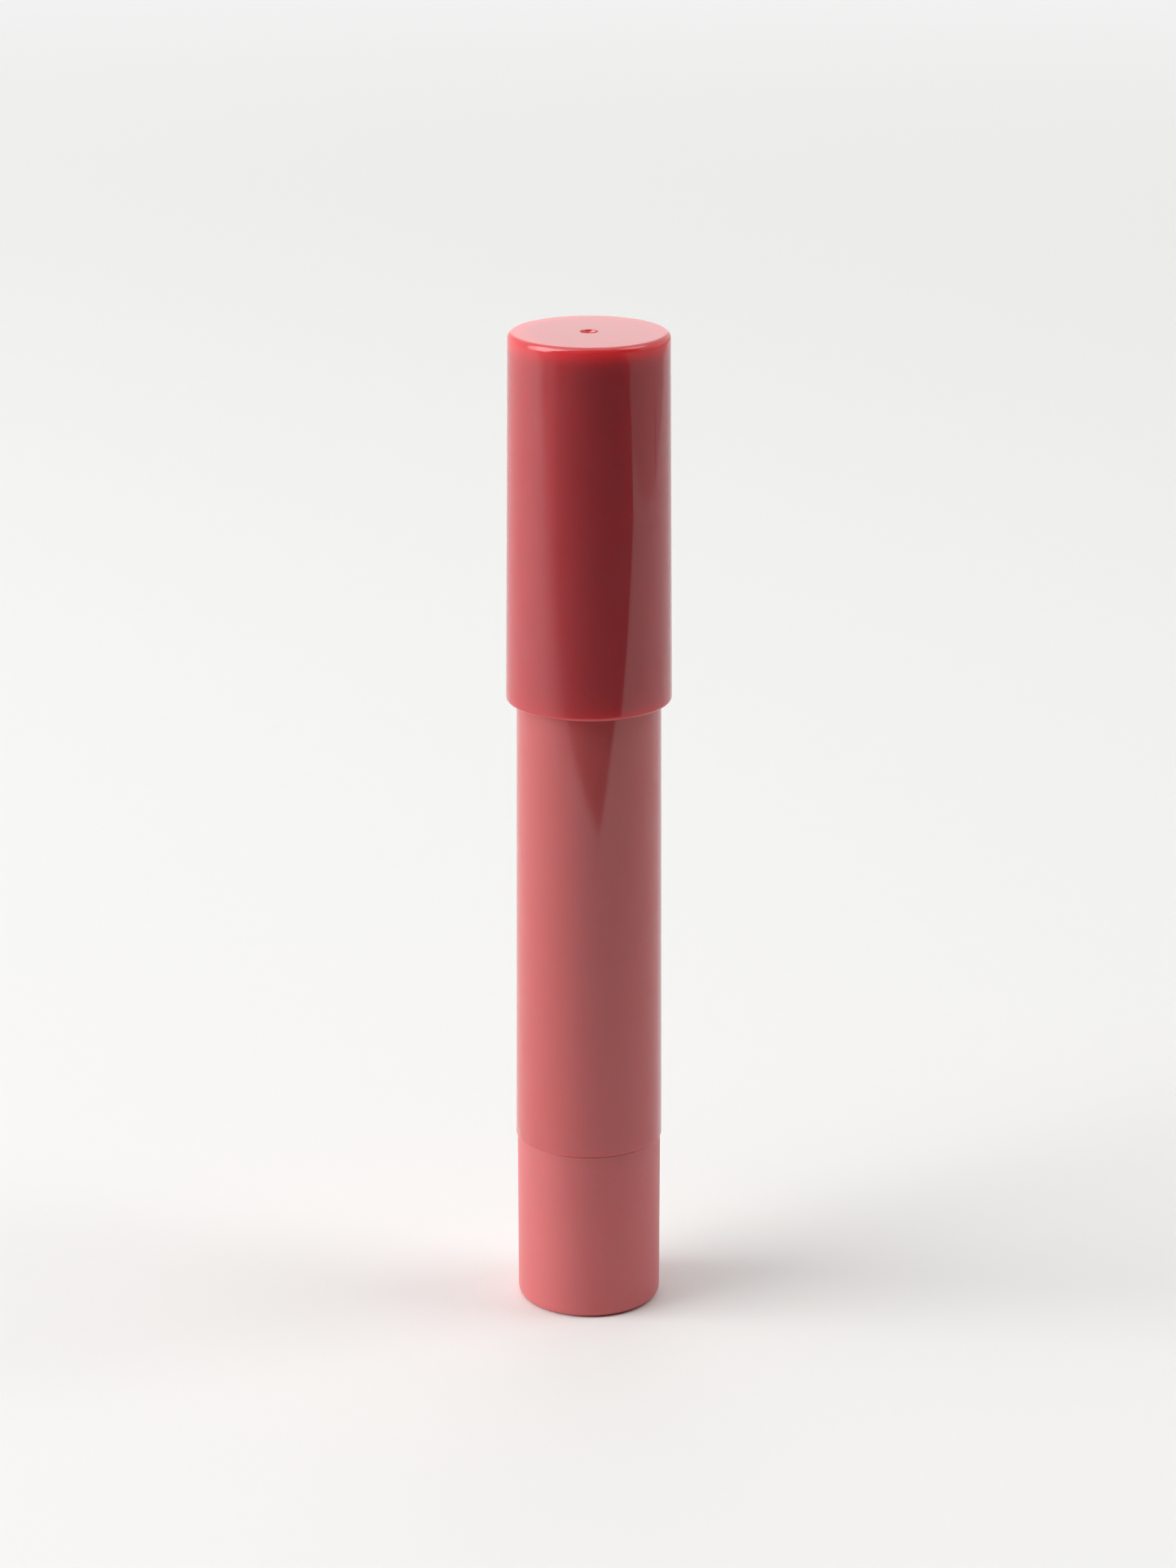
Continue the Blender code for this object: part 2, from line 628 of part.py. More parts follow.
def add_screw_stem(parent):
    crest, flank = thread_widths()
    stem = thread_solid(
        "screw_stem",
        STEM_BOTTOM,
        STEM_TOP,
        STEM_ROOT_RADIUS,
        STEM_CREST_RADIUS,
        crest,
        flank,
    )
    stem.parent = parent
    envelope_radius = STEM_CREST_RADIUS + OVERRUN
    envelope_corners = [
        (0, STEM_BOTTOM),
        (STEM_CREST_RADIUS - STEM_TIP_CHAMFER, STEM_BOTTOM),
        (envelope_radius, STEM_BOTTOM + STEM_TIP_CHAMFER + OVERRUN),
        (envelope_radius, STEM_TOP),
        (0, STEM_TOP),
    ]
    collar_corners = [
        (0, STEM_TOP - STEM_COLLAR_LENGTH),
        (STEM_CREST_RADIUS, STEM_TOP - STEM_COLLAR_LENGTH),
        (STEM_CREST_RADIUS, STEM_TOP + OVERRUN),
        (0, STEM_TOP + OVERRUN),
    ]
    section = double_d(
        "stem_section",
        envelope_radius,
        STEM_FLAT,
        STEM_BOTTOM - OVERRUN,
        STEM_TOP + OVERRUN,
    )
    collar = turned("stem_collar", collar_corners, THREAD_FACETS)
    envelope = turned("stem_envelope", envelope_corners, THREAD_FACETS)
    plug_corners = [
        (0, STEM_TOP - STEM_PLUG_STEP),
        (PLUG_RADIUS, STEM_TOP - STEM_PLUG_STEP),
        (PLUG_RADIUS, PLUG_TOP),
        (0, PLUG_TOP),
    ]
    plug = turned("stem_plug", plug_corners, THREAD_FACETS)
    combine(stem, collar, "UNION")
    combine(stem, envelope, "INTERSECT")
    combine(stem, section, "INTERSECT")
    return finish(combine(stem, plug, "UNION"), MECHANISM_PLASTIC)


def add_carrier_cup(parent):
    corners = [
        (0, SOCKET_TOP),
        (SOCKET_RADIUS, SOCKET_TOP),
        (SOCKET_RADIUS, CUP_BOTTOM),
        (CUP_RADIUS, CUP_BOTTOM),
        (CUP_RADIUS, CUP_RIM, CUP_RIM_FILLET),
        (CUP_BORE, CUP_RIM),
        (CUP_BORE, CUP_INSIDE),
        (BOSS_RADIUS, CUP_INSIDE),
        (BOSS_RADIUS, BOSS_TOP),
        (0, BOSS_TOP),
    ]
    cup = turned("carrier_cup", corners, INNER_FACETS, CUP_BOTTOM)
    cup.parent = parent
    slits = spokes(
        "cup_slits",
        CUP_FINGER_COUNT,
        CUP_BORE - OVERRUN,
        CUP_RADIUS + OVERRUN,
        CUP_SLIT_WIDTH,
        CUP_RIM - CUP_SLIT_DEPTH,
        CUP_RIM + OVERRUN,
    )
    return finish(combine(cup, slits, "DIFFERENCE"), MECHANISM_PLASTIC)


def add_color_bullet(parent):
    shoulder = BULLET_TIP - BULLET_NOSE_LENGTH
    recess = BOSS_RADIUS + SEAT_GAP
    corners = [
        (0, BOSS_TOP + SEAT_GAP),
        (recess, BOSS_TOP + SEAT_GAP),
        (recess, BULLET_BOTTOM),
        (BULLET_RADIUS, BULLET_BOTTOM, BULLET_HEEL_FILLET),
    ]
    for step in range(NOSE_STEPS):
        share = math.sin(math.pi / 2 * step / NOSE_STEPS)
        radius = BULLET_RADIUS * (1 - share**BULLET_NOSE_POWER) ** (1 / BULLET_NOSE_POWER)
        corners.append((radius, shoulder + BULLET_NOSE_LENGTH * share))
    corners.append((0, BULLET_TIP))
    bullet = turned("color_bullet", corners, INNER_FACETS, BULLET_BOTTOM)
    bullet.parent = parent
    return finish(bullet, LIP_COLOUR)


def add_cap(parent):
    top_radius = CAP_RIM_RADIUS - CAP_DRAFT
    corners = [
        (0, CAP_CEILING),
        (cap_bore(CAP_CEILING), CAP_CEILING, CAP_INNER_FILLET),
        (CAP_RIM_BORE, CAP_RIM),
        (CAP_RIM_RADIUS, CAP_RIM, CAP_RIM_FILLET),
        (top_radius, CAP_TOP, CAP_TOP_FILLET),
    ]
    for step in range(FILLET_STEPS):
        angle = math.pi / 2 * step / FILLET_STEPS
        radius = CAP_GATE_RADIUS * math.cos(angle)
        corners.append((radius, CAP_TOP - CAP_GATE_DEPTH * math.sin(angle)))
    corners.append((0, CAP_TOP - CAP_GATE_DEPTH))
    cap = turned("cap", corners, OUTER_FACETS, CAP_RIM)
    cap.parent = parent
    nub = turned(
        "cap_gate_nub",
        [
            (0, CAP_TOP - CAP_GATE_DEPTH - CAP_NUB_RADIUS),
            (CAP_NUB_RADIUS, CAP_TOP - CAP_GATE_DEPTH - CAP_NUB_RADIUS),
            (CAP_NUB_RADIUS, CAP_TOP - CAP_NUB_SINK, CAP_NUB_RADIUS / 2),
            (0, CAP_TOP - CAP_NUB_SINK),
        ],
        THREAD_FACETS // 2,
    )
    nub.location.x = CAP_NUB_OFFSET
    rib_top = CAP_CEILING + CAP_TOP_THICKNESS / 2
    ribs = spokes(
        "cap_ribs",
        CAP_RIB_COUNT,
        cap_bore(CAP_CEILING) - CAP_RIB_HEIGHT,
        cap_bore(CAP_CEILING) + CAP_WALL / 2,
        CAP_RIB_WIDTH,
        LINER_TOP + SEAT_GAP,
        rib_top,
    )
    combine(cap, nub, "UNION")
    return finish(combine(cap, ribs, "UNION"), CAP_PLASTIC)


def add_cap_liner(parent):
    land_bore = NECK_BEAD_RADIUS + LINER_LAND_GAP
    groove = bead(land_bore, LINER_CLICK_DEPTH, BEAD_MIDDLE, NOZZLE_BEAD_WIDTH + 2 * SEAT_GAP)
    land_top = BEAD_MIDDLE + NOZZLE_BEAD_WIDTH + LINER_LAND_WIDTH
    lower = cap_bore(LINER_BOTTOM) - SEAT_GAP
    upper = cap_bore(LINER_TOP) - SEAT_GAP
    corners = [
        (land_bore, LINER_BOTTOM),
        (lower, LINER_BOTTOM),
        (upper, LINER_TOP),
        (upper - LINER_WALL, LINER_TOP),
        (upper - LINER_WALL, land_top + LINER_WALL),
        (land_bore, land_top),
        *reversed(groove),
    ]
    liner = turned("cap_liner", corners, INNER_FACETS, LINER_BOTTOM)
    liner.parent = parent
    return finish(liner, LINER_PLASTIC)


def add_empty(name, parent=None):
    empty = bpy.data.objects.new(name, None)
    empty.parent = parent
    bpy.context.scene.collection.objects.link(empty)
    return empty


def main():
    clear_scene()
    stick = add_empty("stick")
    knob_axis = add_empty("knob_axis", stick)
    carrier_axis = add_empty("carrier_axis", stick)
    cap_axis = add_empty("cap_axis", stick)
    add_barrel(stick)
    add_nozzle(stick)
    add_guide_bush(stick)
    add_twist_base(knob_axis)
    add_drive_sleeve(knob_axis)
    add_drag_ring(knob_axis)
    add_screw_stem(carrier_axis)
    add_carrier_cup(carrier_axis)
    add_color_bullet(carrier_axis)
    add_cap(cap_axis)
    add_cap_liner(cap_axis)


main()
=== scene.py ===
"""Dresses the twist-up lip color stick: its pieces, their finishes and a small studio."""

import json
import math

import bmesh
import bpy
from bpy.props import FloatProperty, FloatVectorProperty, IntProperty, PointerProperty
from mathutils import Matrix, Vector

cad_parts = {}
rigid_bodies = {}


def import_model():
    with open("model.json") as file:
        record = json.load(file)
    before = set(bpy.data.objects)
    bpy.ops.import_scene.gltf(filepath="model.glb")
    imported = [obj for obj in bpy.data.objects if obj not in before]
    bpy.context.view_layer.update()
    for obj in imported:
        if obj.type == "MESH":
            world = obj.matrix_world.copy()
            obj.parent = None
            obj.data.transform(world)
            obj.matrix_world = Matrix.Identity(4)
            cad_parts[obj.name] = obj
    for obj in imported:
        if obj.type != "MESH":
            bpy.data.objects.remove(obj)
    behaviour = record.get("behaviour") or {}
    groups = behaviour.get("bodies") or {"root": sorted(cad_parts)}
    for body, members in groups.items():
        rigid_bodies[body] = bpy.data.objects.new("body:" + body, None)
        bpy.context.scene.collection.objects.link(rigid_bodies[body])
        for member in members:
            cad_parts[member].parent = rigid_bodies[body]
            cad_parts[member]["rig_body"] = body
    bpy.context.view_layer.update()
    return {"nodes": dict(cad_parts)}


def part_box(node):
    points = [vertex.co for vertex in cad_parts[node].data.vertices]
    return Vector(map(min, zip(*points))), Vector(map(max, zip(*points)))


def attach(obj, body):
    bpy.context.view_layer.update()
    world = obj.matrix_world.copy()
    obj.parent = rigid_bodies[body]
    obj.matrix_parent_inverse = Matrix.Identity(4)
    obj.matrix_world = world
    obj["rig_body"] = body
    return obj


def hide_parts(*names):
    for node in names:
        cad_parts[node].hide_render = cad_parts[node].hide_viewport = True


bl_info = {
    "name": "Lip Color Stick",
    "version": (1, 0, 0),
    "blender": (4, 5, 0),
    "location": "View3D > Sidebar > Lip Stick",
    "description": "Models a twist-up lip color stick and the studio that it stands in",
    "category": "Add Mesh",
}

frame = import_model()
BOX = {name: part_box(name) for name in frame["nodes"]}

# Workshop limits, in metres and radians
WELD = 1e-7
POINT = 1e-4
OVERRUN = 0.001
CRISP_ANGLE = math.radians(35)

# The photograph's frame, and the camera that was fitted to it
PHOTO_FOCAL = 6200
PHOTO_HEIGHT = 2212
SENSOR = 36
CAMERA_PLACE = (-0.0001, -0.43005, 0.19556)
CAMERA_TILT = math.radians(72.10)

# Sizes of the solids that neighbouring pieces share, from the top down
NECK_BEAD = 0.0703
FLANGE_BOTTOM = 0.0678
KEYS = 4
BORE = 0.00645
LUGS = 2
LUG_WIDTH = 0.002
LUG_RISE = 0.0009
BUSH_TOP = 0.03886
SNAP_HEIGHT = 0.02856
SPLINES = 12
SEAM = 0.0003
SEAT_GAP = 0.0003

# The screw drive
THREAD_LEAD = 0.004
THREAD_STARTS = 2
THREAD_START = 0.03041
THREAD_GAP = 0.00018
CREST_SHARE = 0.25
FLANK_SHARE = 0.13
STEM_ROOT = 0.00225
STEM_CREST = 0.0029
STEM_FLAT = 0.002
PLUG_RADIUS = 0.0015


def linear(hex_colour):
    """The linear red, green and blue of an sRGB hex colour."""
    channels = [int(hex_colour[i : i + 2], 16) / 255 for i in (1, 3, 5)]
    return [c / 12.92 if c <= 0.04045 else ((c + 0.055) / 1.055) ** 2.4 for c in channels]


# Soft lamps: name, bearing and rise in degrees, distance, width and watts
LAMPS = [
    ("left_low_lamp", -90, 8, 1.5, 0.4, 10.0),
    ("left_front_lamp", -54, 25, 1.5, 1.4, 15.6),
    ("left_high_lamp", -60, 50, 1.5, 1.6, 11.4),
    ("top_lamp", 180, 88, 1.8, 1.2, 3.0),
    ("back_high_lamp", 180, 45, 2.4, 1.4, 2.8),
    ("back_low_lamp", 180, 15, 2.4, 1.0, 1.5),
    ("right_lamp", 90, 50, 1.5, 0.8, 5.1),
]
# A wide card that is only mirrored. It gives the edge round the cap its pale streak
CARD = ("left_card", -62, 30, 1.4, 1.9, 41.0)
LAMP_AIM = Vector((0, 0, 0.05))
# A narrower lamp would be mirrored as a hard spot
NARROWEST_MIRRORED = 0.5
WHITE = (1.0, 1.0, 1.0, 1.0)


def size_value(name, description, default):
    return FloatProperty(
        name=name, description=description, default=default, min=0.0, unit="LENGTH", precision=6
    )


def share_value(name, description, default):
    return FloatProperty(
        name=name, description=description, default=default, min=0.0, max=1.0, subtype="FACTOR"
    )


def colour_value(name, description, default):
    return FloatVectorProperty(
        name=name, description=description, default=linear(default), min=0.0, max=1.0,
        subtype="COLOR",
    )


class CapSettings(bpy.types.PropertyGroup):
    """Sizes and finish of the cap and of the sleeve inside it."""

    wall: size_value("Wall", "Thickness of the wall at the rim", 0.000774)
    draft: size_value("Draft", "How much narrower the cap is at its top", 0.000326)
    top: size_value("Top", "Thickness of the flat top", 0.0016)
    top_rounding: size_value("Top rounding", "Radius of the edge round the top", 0.0006)
    rim_rounding: size_value("Rim rounding", "Radius of the edge round the rim", 0.00042)
    sink: size_value("Sink", "Depth of the shrinkage under the thick top", 0.000012)
    gate: size_value("Gate", "Radius of the dimple in the middle of the top", 0.00092)
    nub: size_value("Nub", "Radius of the stub that the gate left in the dimple", 0.0003)
    rib: size_value("Rib", "Width and height of the ribs inside the cap", 0.0006)
    colour: colour_value("Colour", "Colour of the polished plastic", "#da494f")
    roughness: share_value("Roughness", "Roughness of the polished plastic", 0.055)
    liner_wall: size_value("Liner wall", "Thickness of the inner sleeve", 0.00045)
    liner_land: size_value("Liner land", "Inner radius of the band that grips the nozzle", 0.00675)
    liner_colour: colour_value("Liner colour", "Colour of the inner sleeve", "#eee6e2")


class BarrelSettings(bpy.types.PropertyGroup):
    """Sizes and finish of the barrel, the nozzle and the bush in it."""

    taper: size_value("Taper", "How much narrower the barrel is at its top", 0.000249)
    top_rounding: size_value("Top rounding", "Radius of the edge under the nozzle", 0.0003)
    foot_rounding: size_value("Foot rounding", "Radius of the edge over the seam", 0.00008)
    seam: size_value("Seam", "Width of the gap between barrel and knob", 0.00006)
    ledge: size_value("Ledge", "Inner radius of the ledge that holds the bush", 0.0049)
    mouth: size_value("Mouth", "Inner radius of the nozzle's mouth", 0.00505)
    key: size_value("Key", "Width of the keys that fix the nozzle", 0.0009)
    colour: colour_value("Colour", "Colour of the satin plastic", "#c66062")
    roughness: share_value("Roughness", "Roughness of the satin plastic", 0.05)


class KnobSettings(bpy.types.PropertyGroup):
    """Sizes and finish of the knob, its drive sleeve and the drag ring."""

    bore: size_value("Bore", "Inner radius of the knob", 0.0064)
    floor: size_value("Floor", "Thickness of the knob's floor", 0.0014)
    foot_rounding: size_value("Foot rounding", "Radius of the edge round the foot", 0.0008)
    top_rounding: size_value("Top rounding", "Radius of the edge under the seam", 0.00008)
    recess: size_value("Recess", "How far the underside is set back", 0.00035)
    rib: size_value("Rib", "Width of the ribs that grip the sleeve", 0.001)
    colour: colour_value("Colour", "Colour of the matte plastic", "#cd696b")
    roughness: share_value("Roughness", "Roughness of the matte plastic", 0.45)
    ring: size_value("Ring", "Radius of the drag ring's section", 0.0005)
    ring_colour: colour_value("Ring colour", "Colour of the rubber", "#2b2b2b")


class CarrierSettings(bpy.types.PropertyGroup):
    """Sizes and finish of the stick of lip color, its cup and the screw stem."""

    nose: size_value("Nose", "Length of the rounded end", 0.0088)
    nose_power: FloatProperty(
        name="Nose fullness", description="2 is an ellipse, less is more pointed", default=1.65
    )
    nose_steps: IntProperty(
        name="Nose steps", description="Rings along the rounded end", default=20, min=4
    )
    cup_bore: size_value("Cup bore", "Inner radius of the cup", 0.005)
    slit: size_value("Slit", "Width of the slits between the cup's fingers", 0.0008)
    thread_steps: IntProperty(
        name="Thread steps", description="Facets round one turn of the thread", default=64, min=12
    )
    wax: colour_value("Wax", "Colour of the wax", "#a8484f")
    acetal: colour_value("Acetal", "Colour of the uncoloured working parts", "#efefec")


class StudioSettings(bpy.types.PropertyGroup):
    """The floor, the lamps and the camera."""

    floor: colour_value("Floor", "Colour of the floor", "#f5f5f3")
    sheet_front: size_value("Sheet front", "How far the bright sheet reaches in front", 0.178)
    sheet_right: size_value("Sheet right", "How far the bright sheet reaches to the right", 0.368)
    lamps: FloatProperty(name="Lamps", description="Strength of all the lamps", default=1.0)
    room: share_value("Room", "Strength of the light from all round", 0.46)
    backdrop: share_value("Backdrop", "Brightness of the far backdrop where it is seen", 0.925)


def pick(piece, test):
    """Selects the points whose place passes the test, and says how many there are."""
    bm = bmesh.from_edit_mesh(piece.data)
    for vert in bm.verts:
        vert.select = bool(test(vert.co))
    bm.select_flush_mode()
    bmesh.update_edit_mesh(piece.data)
    return sum(vert.select for vert in bm.verts)


def activate(piece):
    bpy.ops.object.select_all(action="DESELECT")
    piece.select_set(True)
    bpy.context.view_layer.objects.active = piece


def traced(name, points):
    """A piece that is one line through points. It is left in edit mode, all selected."""
    bpy.ops.mesh.primitive_plane_add(size=POINT, location=points[0])
    piece = bpy.context.object
    piece.name = piece.data.name = name
    bpy.ops.object.transform_apply()
    bpy.ops.object.mode_set(mode="EDIT")
    bpy.ops.mesh.merge(type="CENTER")
    for before, after in zip(points, points[1:]):
        step = [b - a for a, b in zip(before, after)]
        bpy.ops.mesh.extrude_region_move(TRANSFORM_OT_translate={"value": step})
    bpy.ops.mesh.select_all(action="SELECT")
    return piece


def turned(name, corners, steps=144, segments=5):
    """A closed round piece. A corner is (radius, height) or has its rounding as a third number."""
    places = [Vector((corner[0], 0, corner[1])) for corner in corners]
    piece = traced(name, places)
    if corners[0][0] > 0:
        ends = (places[0], places[-1])
        pick(piece, lambda spot: min((spot - end).length for end in ends) < WELD)
        bpy.ops.mesh.edge_face_add()
    for corner, place in zip(corners, places):
        if len(corner) > 2:
            if pick(piece, lambda spot: (spot - place).length < WELD) != 1:
                raise RuntimeError(f"{name} has no single corner at {corner}")
            bpy.ops.mesh.bevel(offset=corner[2], segments=segments, affect="VERTICES")
    bpy.ops.mesh.select_all(action="SELECT")
    bpy.ops.mesh.spin(steps=steps, angle=math.tau, center=(0, 0, 0), axis=(0, 0, 1))
    close_up()
    return piece


def close_up():
    """Merges what touches, turns the faces outwards and leaves edit mode."""
    bpy.ops.mesh.select_all(action="SELECT")
    bpy.ops.mesh.remove_doubles(threshold=WELD)
    bpy.ops.mesh.normals_make_consistent(inside=False)
    bpy.ops.object.mode_set(mode="OBJECT")


def spokes(name, count, inner, outer, width, bottom, top):
    """Blocks set evenly round the axis, the first along +X, joined as one."""
    middle = ((inner + outer) / 2, 0, (bottom + top) / 2)
    bpy.ops.mesh.primitive_cube_add(size=1, location=middle)
    block = bpy.context.object
    block.name = block.data.name = name
    block.scale = (outer - inner, width, top - bottom)
    bpy.ops.object.transform_apply()
    for index in range(1, count):
        copy = block.copy()
        copy.data = block.data.copy()
        bpy.context.scene.collection.objects.link(copy)
        copy.rotation_euler.z = math.tau * index / count
        copy.select_set(True)
    bpy.ops.object.join()
    return block


def combine(piece, helper, operation):
    """Cuts the helper from the piece, joins it on or trims to it, and takes the helper away."""
    activate(piece)
    modifier = piece.modifiers.new("combine", "BOOLEAN")
    modifier.operation = operation
    modifier.solver = "EXACT"
    modifier.object = helper
    bpy.ops.object.modifier_apply(modifier=modifier.name)
    bpy.data.objects.remove(helper)


def sliced(piece, place, normal):
    """Cuts the piece flat at a place and keeps the side that the normal points away from."""
    activate(piece)
    bpy.ops.object.mode_set(mode="EDIT")
    bpy.ops.mesh.select_all(action="SELECT")
    bpy.ops.mesh.bisect(plane_co=place, plane_no=normal, use_fill=True, clear_outer=True)
    close_up()
    return piece


def thread(name, root, crest, grow, bottom, top, steps):
    """A left-handed threaded rod with flat ends. Grow is the clearance on each side of a crest."""
    pitch = THREAD_LEAD / THREAD_STARTS
    crest_width = pitch * CREST_SHARE + 2 * grow
    flank = pitch * FLANK_SHARE
    root_width = pitch - crest_width - 2 * flank
    first = THREAD_START + pitch * (math.floor((bottom - THREAD_START) / pitch) - 1)
    turns = math.ceil((top - first) / THREAD_LEAD) + 2
    points = []
    for start in range(THREAD_STARTS):
        middle = first + THREAD_LEAD * (turns - 1) + pitch * start
        points += [
            (root, 0, middle - root_width / 2),
            (root, 0, middle + root_width / 2),
            (crest, 0, middle + root_width / 2 + flank),
            (crest, 0, middle + root_width / 2 + flank + crest_width),
        ]
    points.append((root, 0, points[0][2] + THREAD_LEAD))
    piece = traced(name, points)
    bpy.ops.object.mode_set(mode="OBJECT")
    screw = piece.modifiers.new("screw", "SCREW")
    screw.steps = screw.render_steps = steps
    screw.screw_offset = -THREAD_LEAD
    screw.iterations = turns
    screw.use_merge_vertices = True
    screw.merge_threshold = WELD
    bpy.ops.object.modifier_apply(modifier=screw.name)
    sliced(piece, (0, 0, bottom), (0, 0, -1))
    return sliced(piece, (0, 0, top), (0, 0, 1))


def double_d(name, radius, flat, bottom, top):
    """A rod with two flats, square to Y."""
    piece = turned(name, [(0, bottom), (radius, bottom), (radius, top), (0, top)], 64)
    sliced(piece, (0, flat, 0), (0, 1, 0))
    return sliced(piece, (0, -flat, 0), (0, -1, 0))


def finish(piece, node, material):
    """Shades the piece, checks that it is closed, and puts it in its node's place."""
    bm = bmesh.new()
    bm.from_mesh(piece.data)
    bmesh.ops.remove_doubles(bm, verts=bm.verts, dist=WELD)
    gaps = sum(len(edge.link_faces) != 2 for edge in bm.edges)
    inside_out = bm.calc_volume(signed=True) < 0
    bm.free()
    if gaps or inside_out:
        raise RuntimeError(f"{piece.name} isn't a closed solid: {gaps} open edges, {inside_out}")
    activate(piece)
    bpy.ops.object.shade_smooth_by_angle(angle=CRISP_ANGLE)
    modifier = piece.modifiers.new("even_shading", "WEIGHTED_NORMAL")
    modifier.keep_sharp = True
    bpy.ops.object.modifier_apply(modifier=modifier.name)
    piece.data.materials.clear()
    piece.data.materials.append(material)
    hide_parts(node)
    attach(piece, frame["nodes"][node]["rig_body"])


def add_node(tree, kind, sources, **settings):
    """Adds a node. Each source is a number, a colour or the output that feeds the input."""
    node = tree.nodes.new(kind)
    for name, value in settings.items():
        setattr(node, name, value)
    for name, source in sources.items():
        if isinstance(source, bpy.types.NodeSocket):
            tree.links.new(source, node.inputs[name])
        else:
            node.inputs[name].default_value = source
    return node


def new_material(name):
    """An empty material with its output, its Principled shader and its Object coordinates."""
    material = bpy.data.materials.new(name)
    material.use_nodes = True
    tree = material.node_tree
    tree.nodes.clear()
    place = add_node(tree, "ShaderNodeTexCoord", {}).outputs["Object"]
    shader = add_node(tree, "ShaderNodeBsdfPrincipled", {})
    add_node(tree, "ShaderNodeOutputMaterial", {"Surface": shader.outputs["BSDF"]})
    return material, tree, shader, place


def seen_rays(tree):
    """1 for the rays that see or mirror the background, and 0 for those that carry its light."""
    path = add_node(tree, "ShaderNodeLightPath", {})
    seen = path.outputs["Is Camera Ray"]
    for kind in ("Is Glossy Ray", "Is Transmission Ray"):
        pair = {0: seen, 1: path.outputs[kind]}
        seen = add_node(tree, "ShaderNodeMath", pair, operation="ADD", use_clamp=True).outputs[0]
    return seen


def rgba(colour, factor=1.0):
    return [*(min(channel * factor, 1.0) for channel in colour), 1.0]


def moulded(
    name, colour, roughness, drift=0.02, stretch=3.0, swing=0.03, grain=0.002, depth=0.000003,
    haze=0.15, glow=0.0, reach=(1.0, 0.25, 0.2), ior=1.5, change=None,
):
    """A moulded skin: a body colour that drifts, a gloss that drifts with it and a fine relief.

    Drift is the width of the colour's drift, stretch how much longer it runs up the piece, and
    swing its strength. Grain and depth are the width and height of the relief. Haze is how much
    the gloss varies. Glow is how far light runs under the skin, and reach that of each colour.
    Change may add what one finish has of its own to the colour, the gloss and the relief.
    """
    material, tree, shader, place = new_material(name)
    flow = add_node(tree, "ShaderNodeMapping", {
        "Vector": place, "Scale": (1 / drift, 1 / drift, 1 / drift / stretch),
    })
    clouds = add_node(tree, "ShaderNodeTexNoise", {
        "Vector": flow.outputs[0], "Scale": 1.0, "Detail": 3.0,
    })
    clouds = add_node(tree, "ShaderNodeMapRange", {
        "Value": clouds.outputs["Fac"], "From Min": 0.3, "From Max": 0.7,
    })
    tint = add_node(tree, "ShaderNodeMix", {
        "Factor": clouds.outputs[0], "A": rgba(colour, 1 - swing), "B": rgba(colour, 1 + swing),
    }, data_type="RGBA")
    skin = add_node(tree, "ShaderNodeTexNoise", {
        "Vector": place, "Scale": 1 / grain, "Detail": 4.0,
    })
    gloss = add_node(tree, "ShaderNodeMapRange", {
        "Value": clouds.outputs[0],
        "To Min": roughness * (1 - haze), "To Max": roughness * (1 + haze),
    })
    parts = [tint.outputs["Result"], gloss.outputs[0], skin.outputs["Fac"]]
    if change:
        parts = change(tree, place, *parts)
    relief = add_node(tree, "ShaderNodeBump", {"Height": parts[2], "Distance": depth})
    tree.links.new(parts[0], shader.inputs["Base Color"])
    tree.links.new(parts[1], shader.inputs["Roughness"])
    tree.links.new(relief.outputs["Normal"], shader.inputs["Normal"])
    shader.inputs["IOR"].default_value = ior
    if glow:
        shader.inputs["Subsurface Weight"].default_value = 1.0
        shader.inputs["Subsurface Radius"].default_value = reach
        shader.inputs["Subsurface Scale"].default_value = glow
    return material


def gate_blush_and_painted_highlight(tree, place, tint, gloss, height):
    """A slightly duller, paler ring round the gate, where the plastic entered the mould. Its paler
    colour is also painted highlight: it bleaches the brightly lit top of the cap.
    """
    # At its strongest: the share of the pale colour, and the roughness added
    paling, dulling = 0.3, 0.05
    flat = {0: place, 1: (1.0, 1.0, 0.0)}
    flat = add_node(tree, "ShaderNodeVectorMath", flat, operation="MULTIPLY")
    away = add_node(tree, "ShaderNodeVectorMath", {0: flat.outputs[0]}, operation="LENGTH")
    near = add_node(tree, "ShaderNodeMapRange", {
        "Value": away.outputs["Value"], "From Min": 0.0045, "From Max": 0.0009, "To Max": paling,
    }, interpolation_type="SMOOTHSTEP")
    rise = add_node(tree, "ShaderNodeSeparateXYZ", {"Vector": place})
    top = BOX["cap"][1].z
    high = add_node(tree, "ShaderNodeMapRange", {
        "Value": rise.outputs["Z"], "From Min": top - 0.0008, "From Max": top - 0.0004,
    })
    painted_highlight_and_blush = {0: near.outputs[0], 1: high.outputs[0]}
    painted_highlight_and_blush = add_node(tree, "ShaderNodeMath", painted_highlight_and_blush, operation="MULTIPLY").outputs[0]
    gloss = {0: painted_highlight_and_blush, 1: dulling / paling, 2: gloss}
    gloss = add_node(tree, "ShaderNodeMath", gloss, operation="MULTIPLY_ADD")
    # Painted highlight as well as blush: the top's colour is mixed towards a paler pink, the way a
    # brightly lit top looks
    tint = add_node(tree, "ShaderNodeMix", {
        "Factor": painted_highlight_and_blush, "A": tint, "B": rgba(linear("#c4585b")),
    }, data_type="RGBA")
    return tint.outputs["Result"], gloss.outputs[0], height


def draw_lines(tree, place, tint, gloss, height):
    """Faint lines along the barrel, which slid off its core and out of its mould that way."""
    long = add_node(tree, "ShaderNodeMapping", {"Vector": place, "Scale": (2500.0, 2500.0, 40.0)})
    lines = add_node(tree, "ShaderNodeTexNoise", {
        "Vector": long.outputs[0], "Scale": 1.0, "Detail": 2.0,
    })
    gloss = {0: lines.outputs["Fac"], 1: 0.02, 2: gloss}
    gloss = add_node(tree, "ShaderNodeMath", gloss, operation="MULTIPLY_ADD")
    return tint, gloss.outputs[0], height


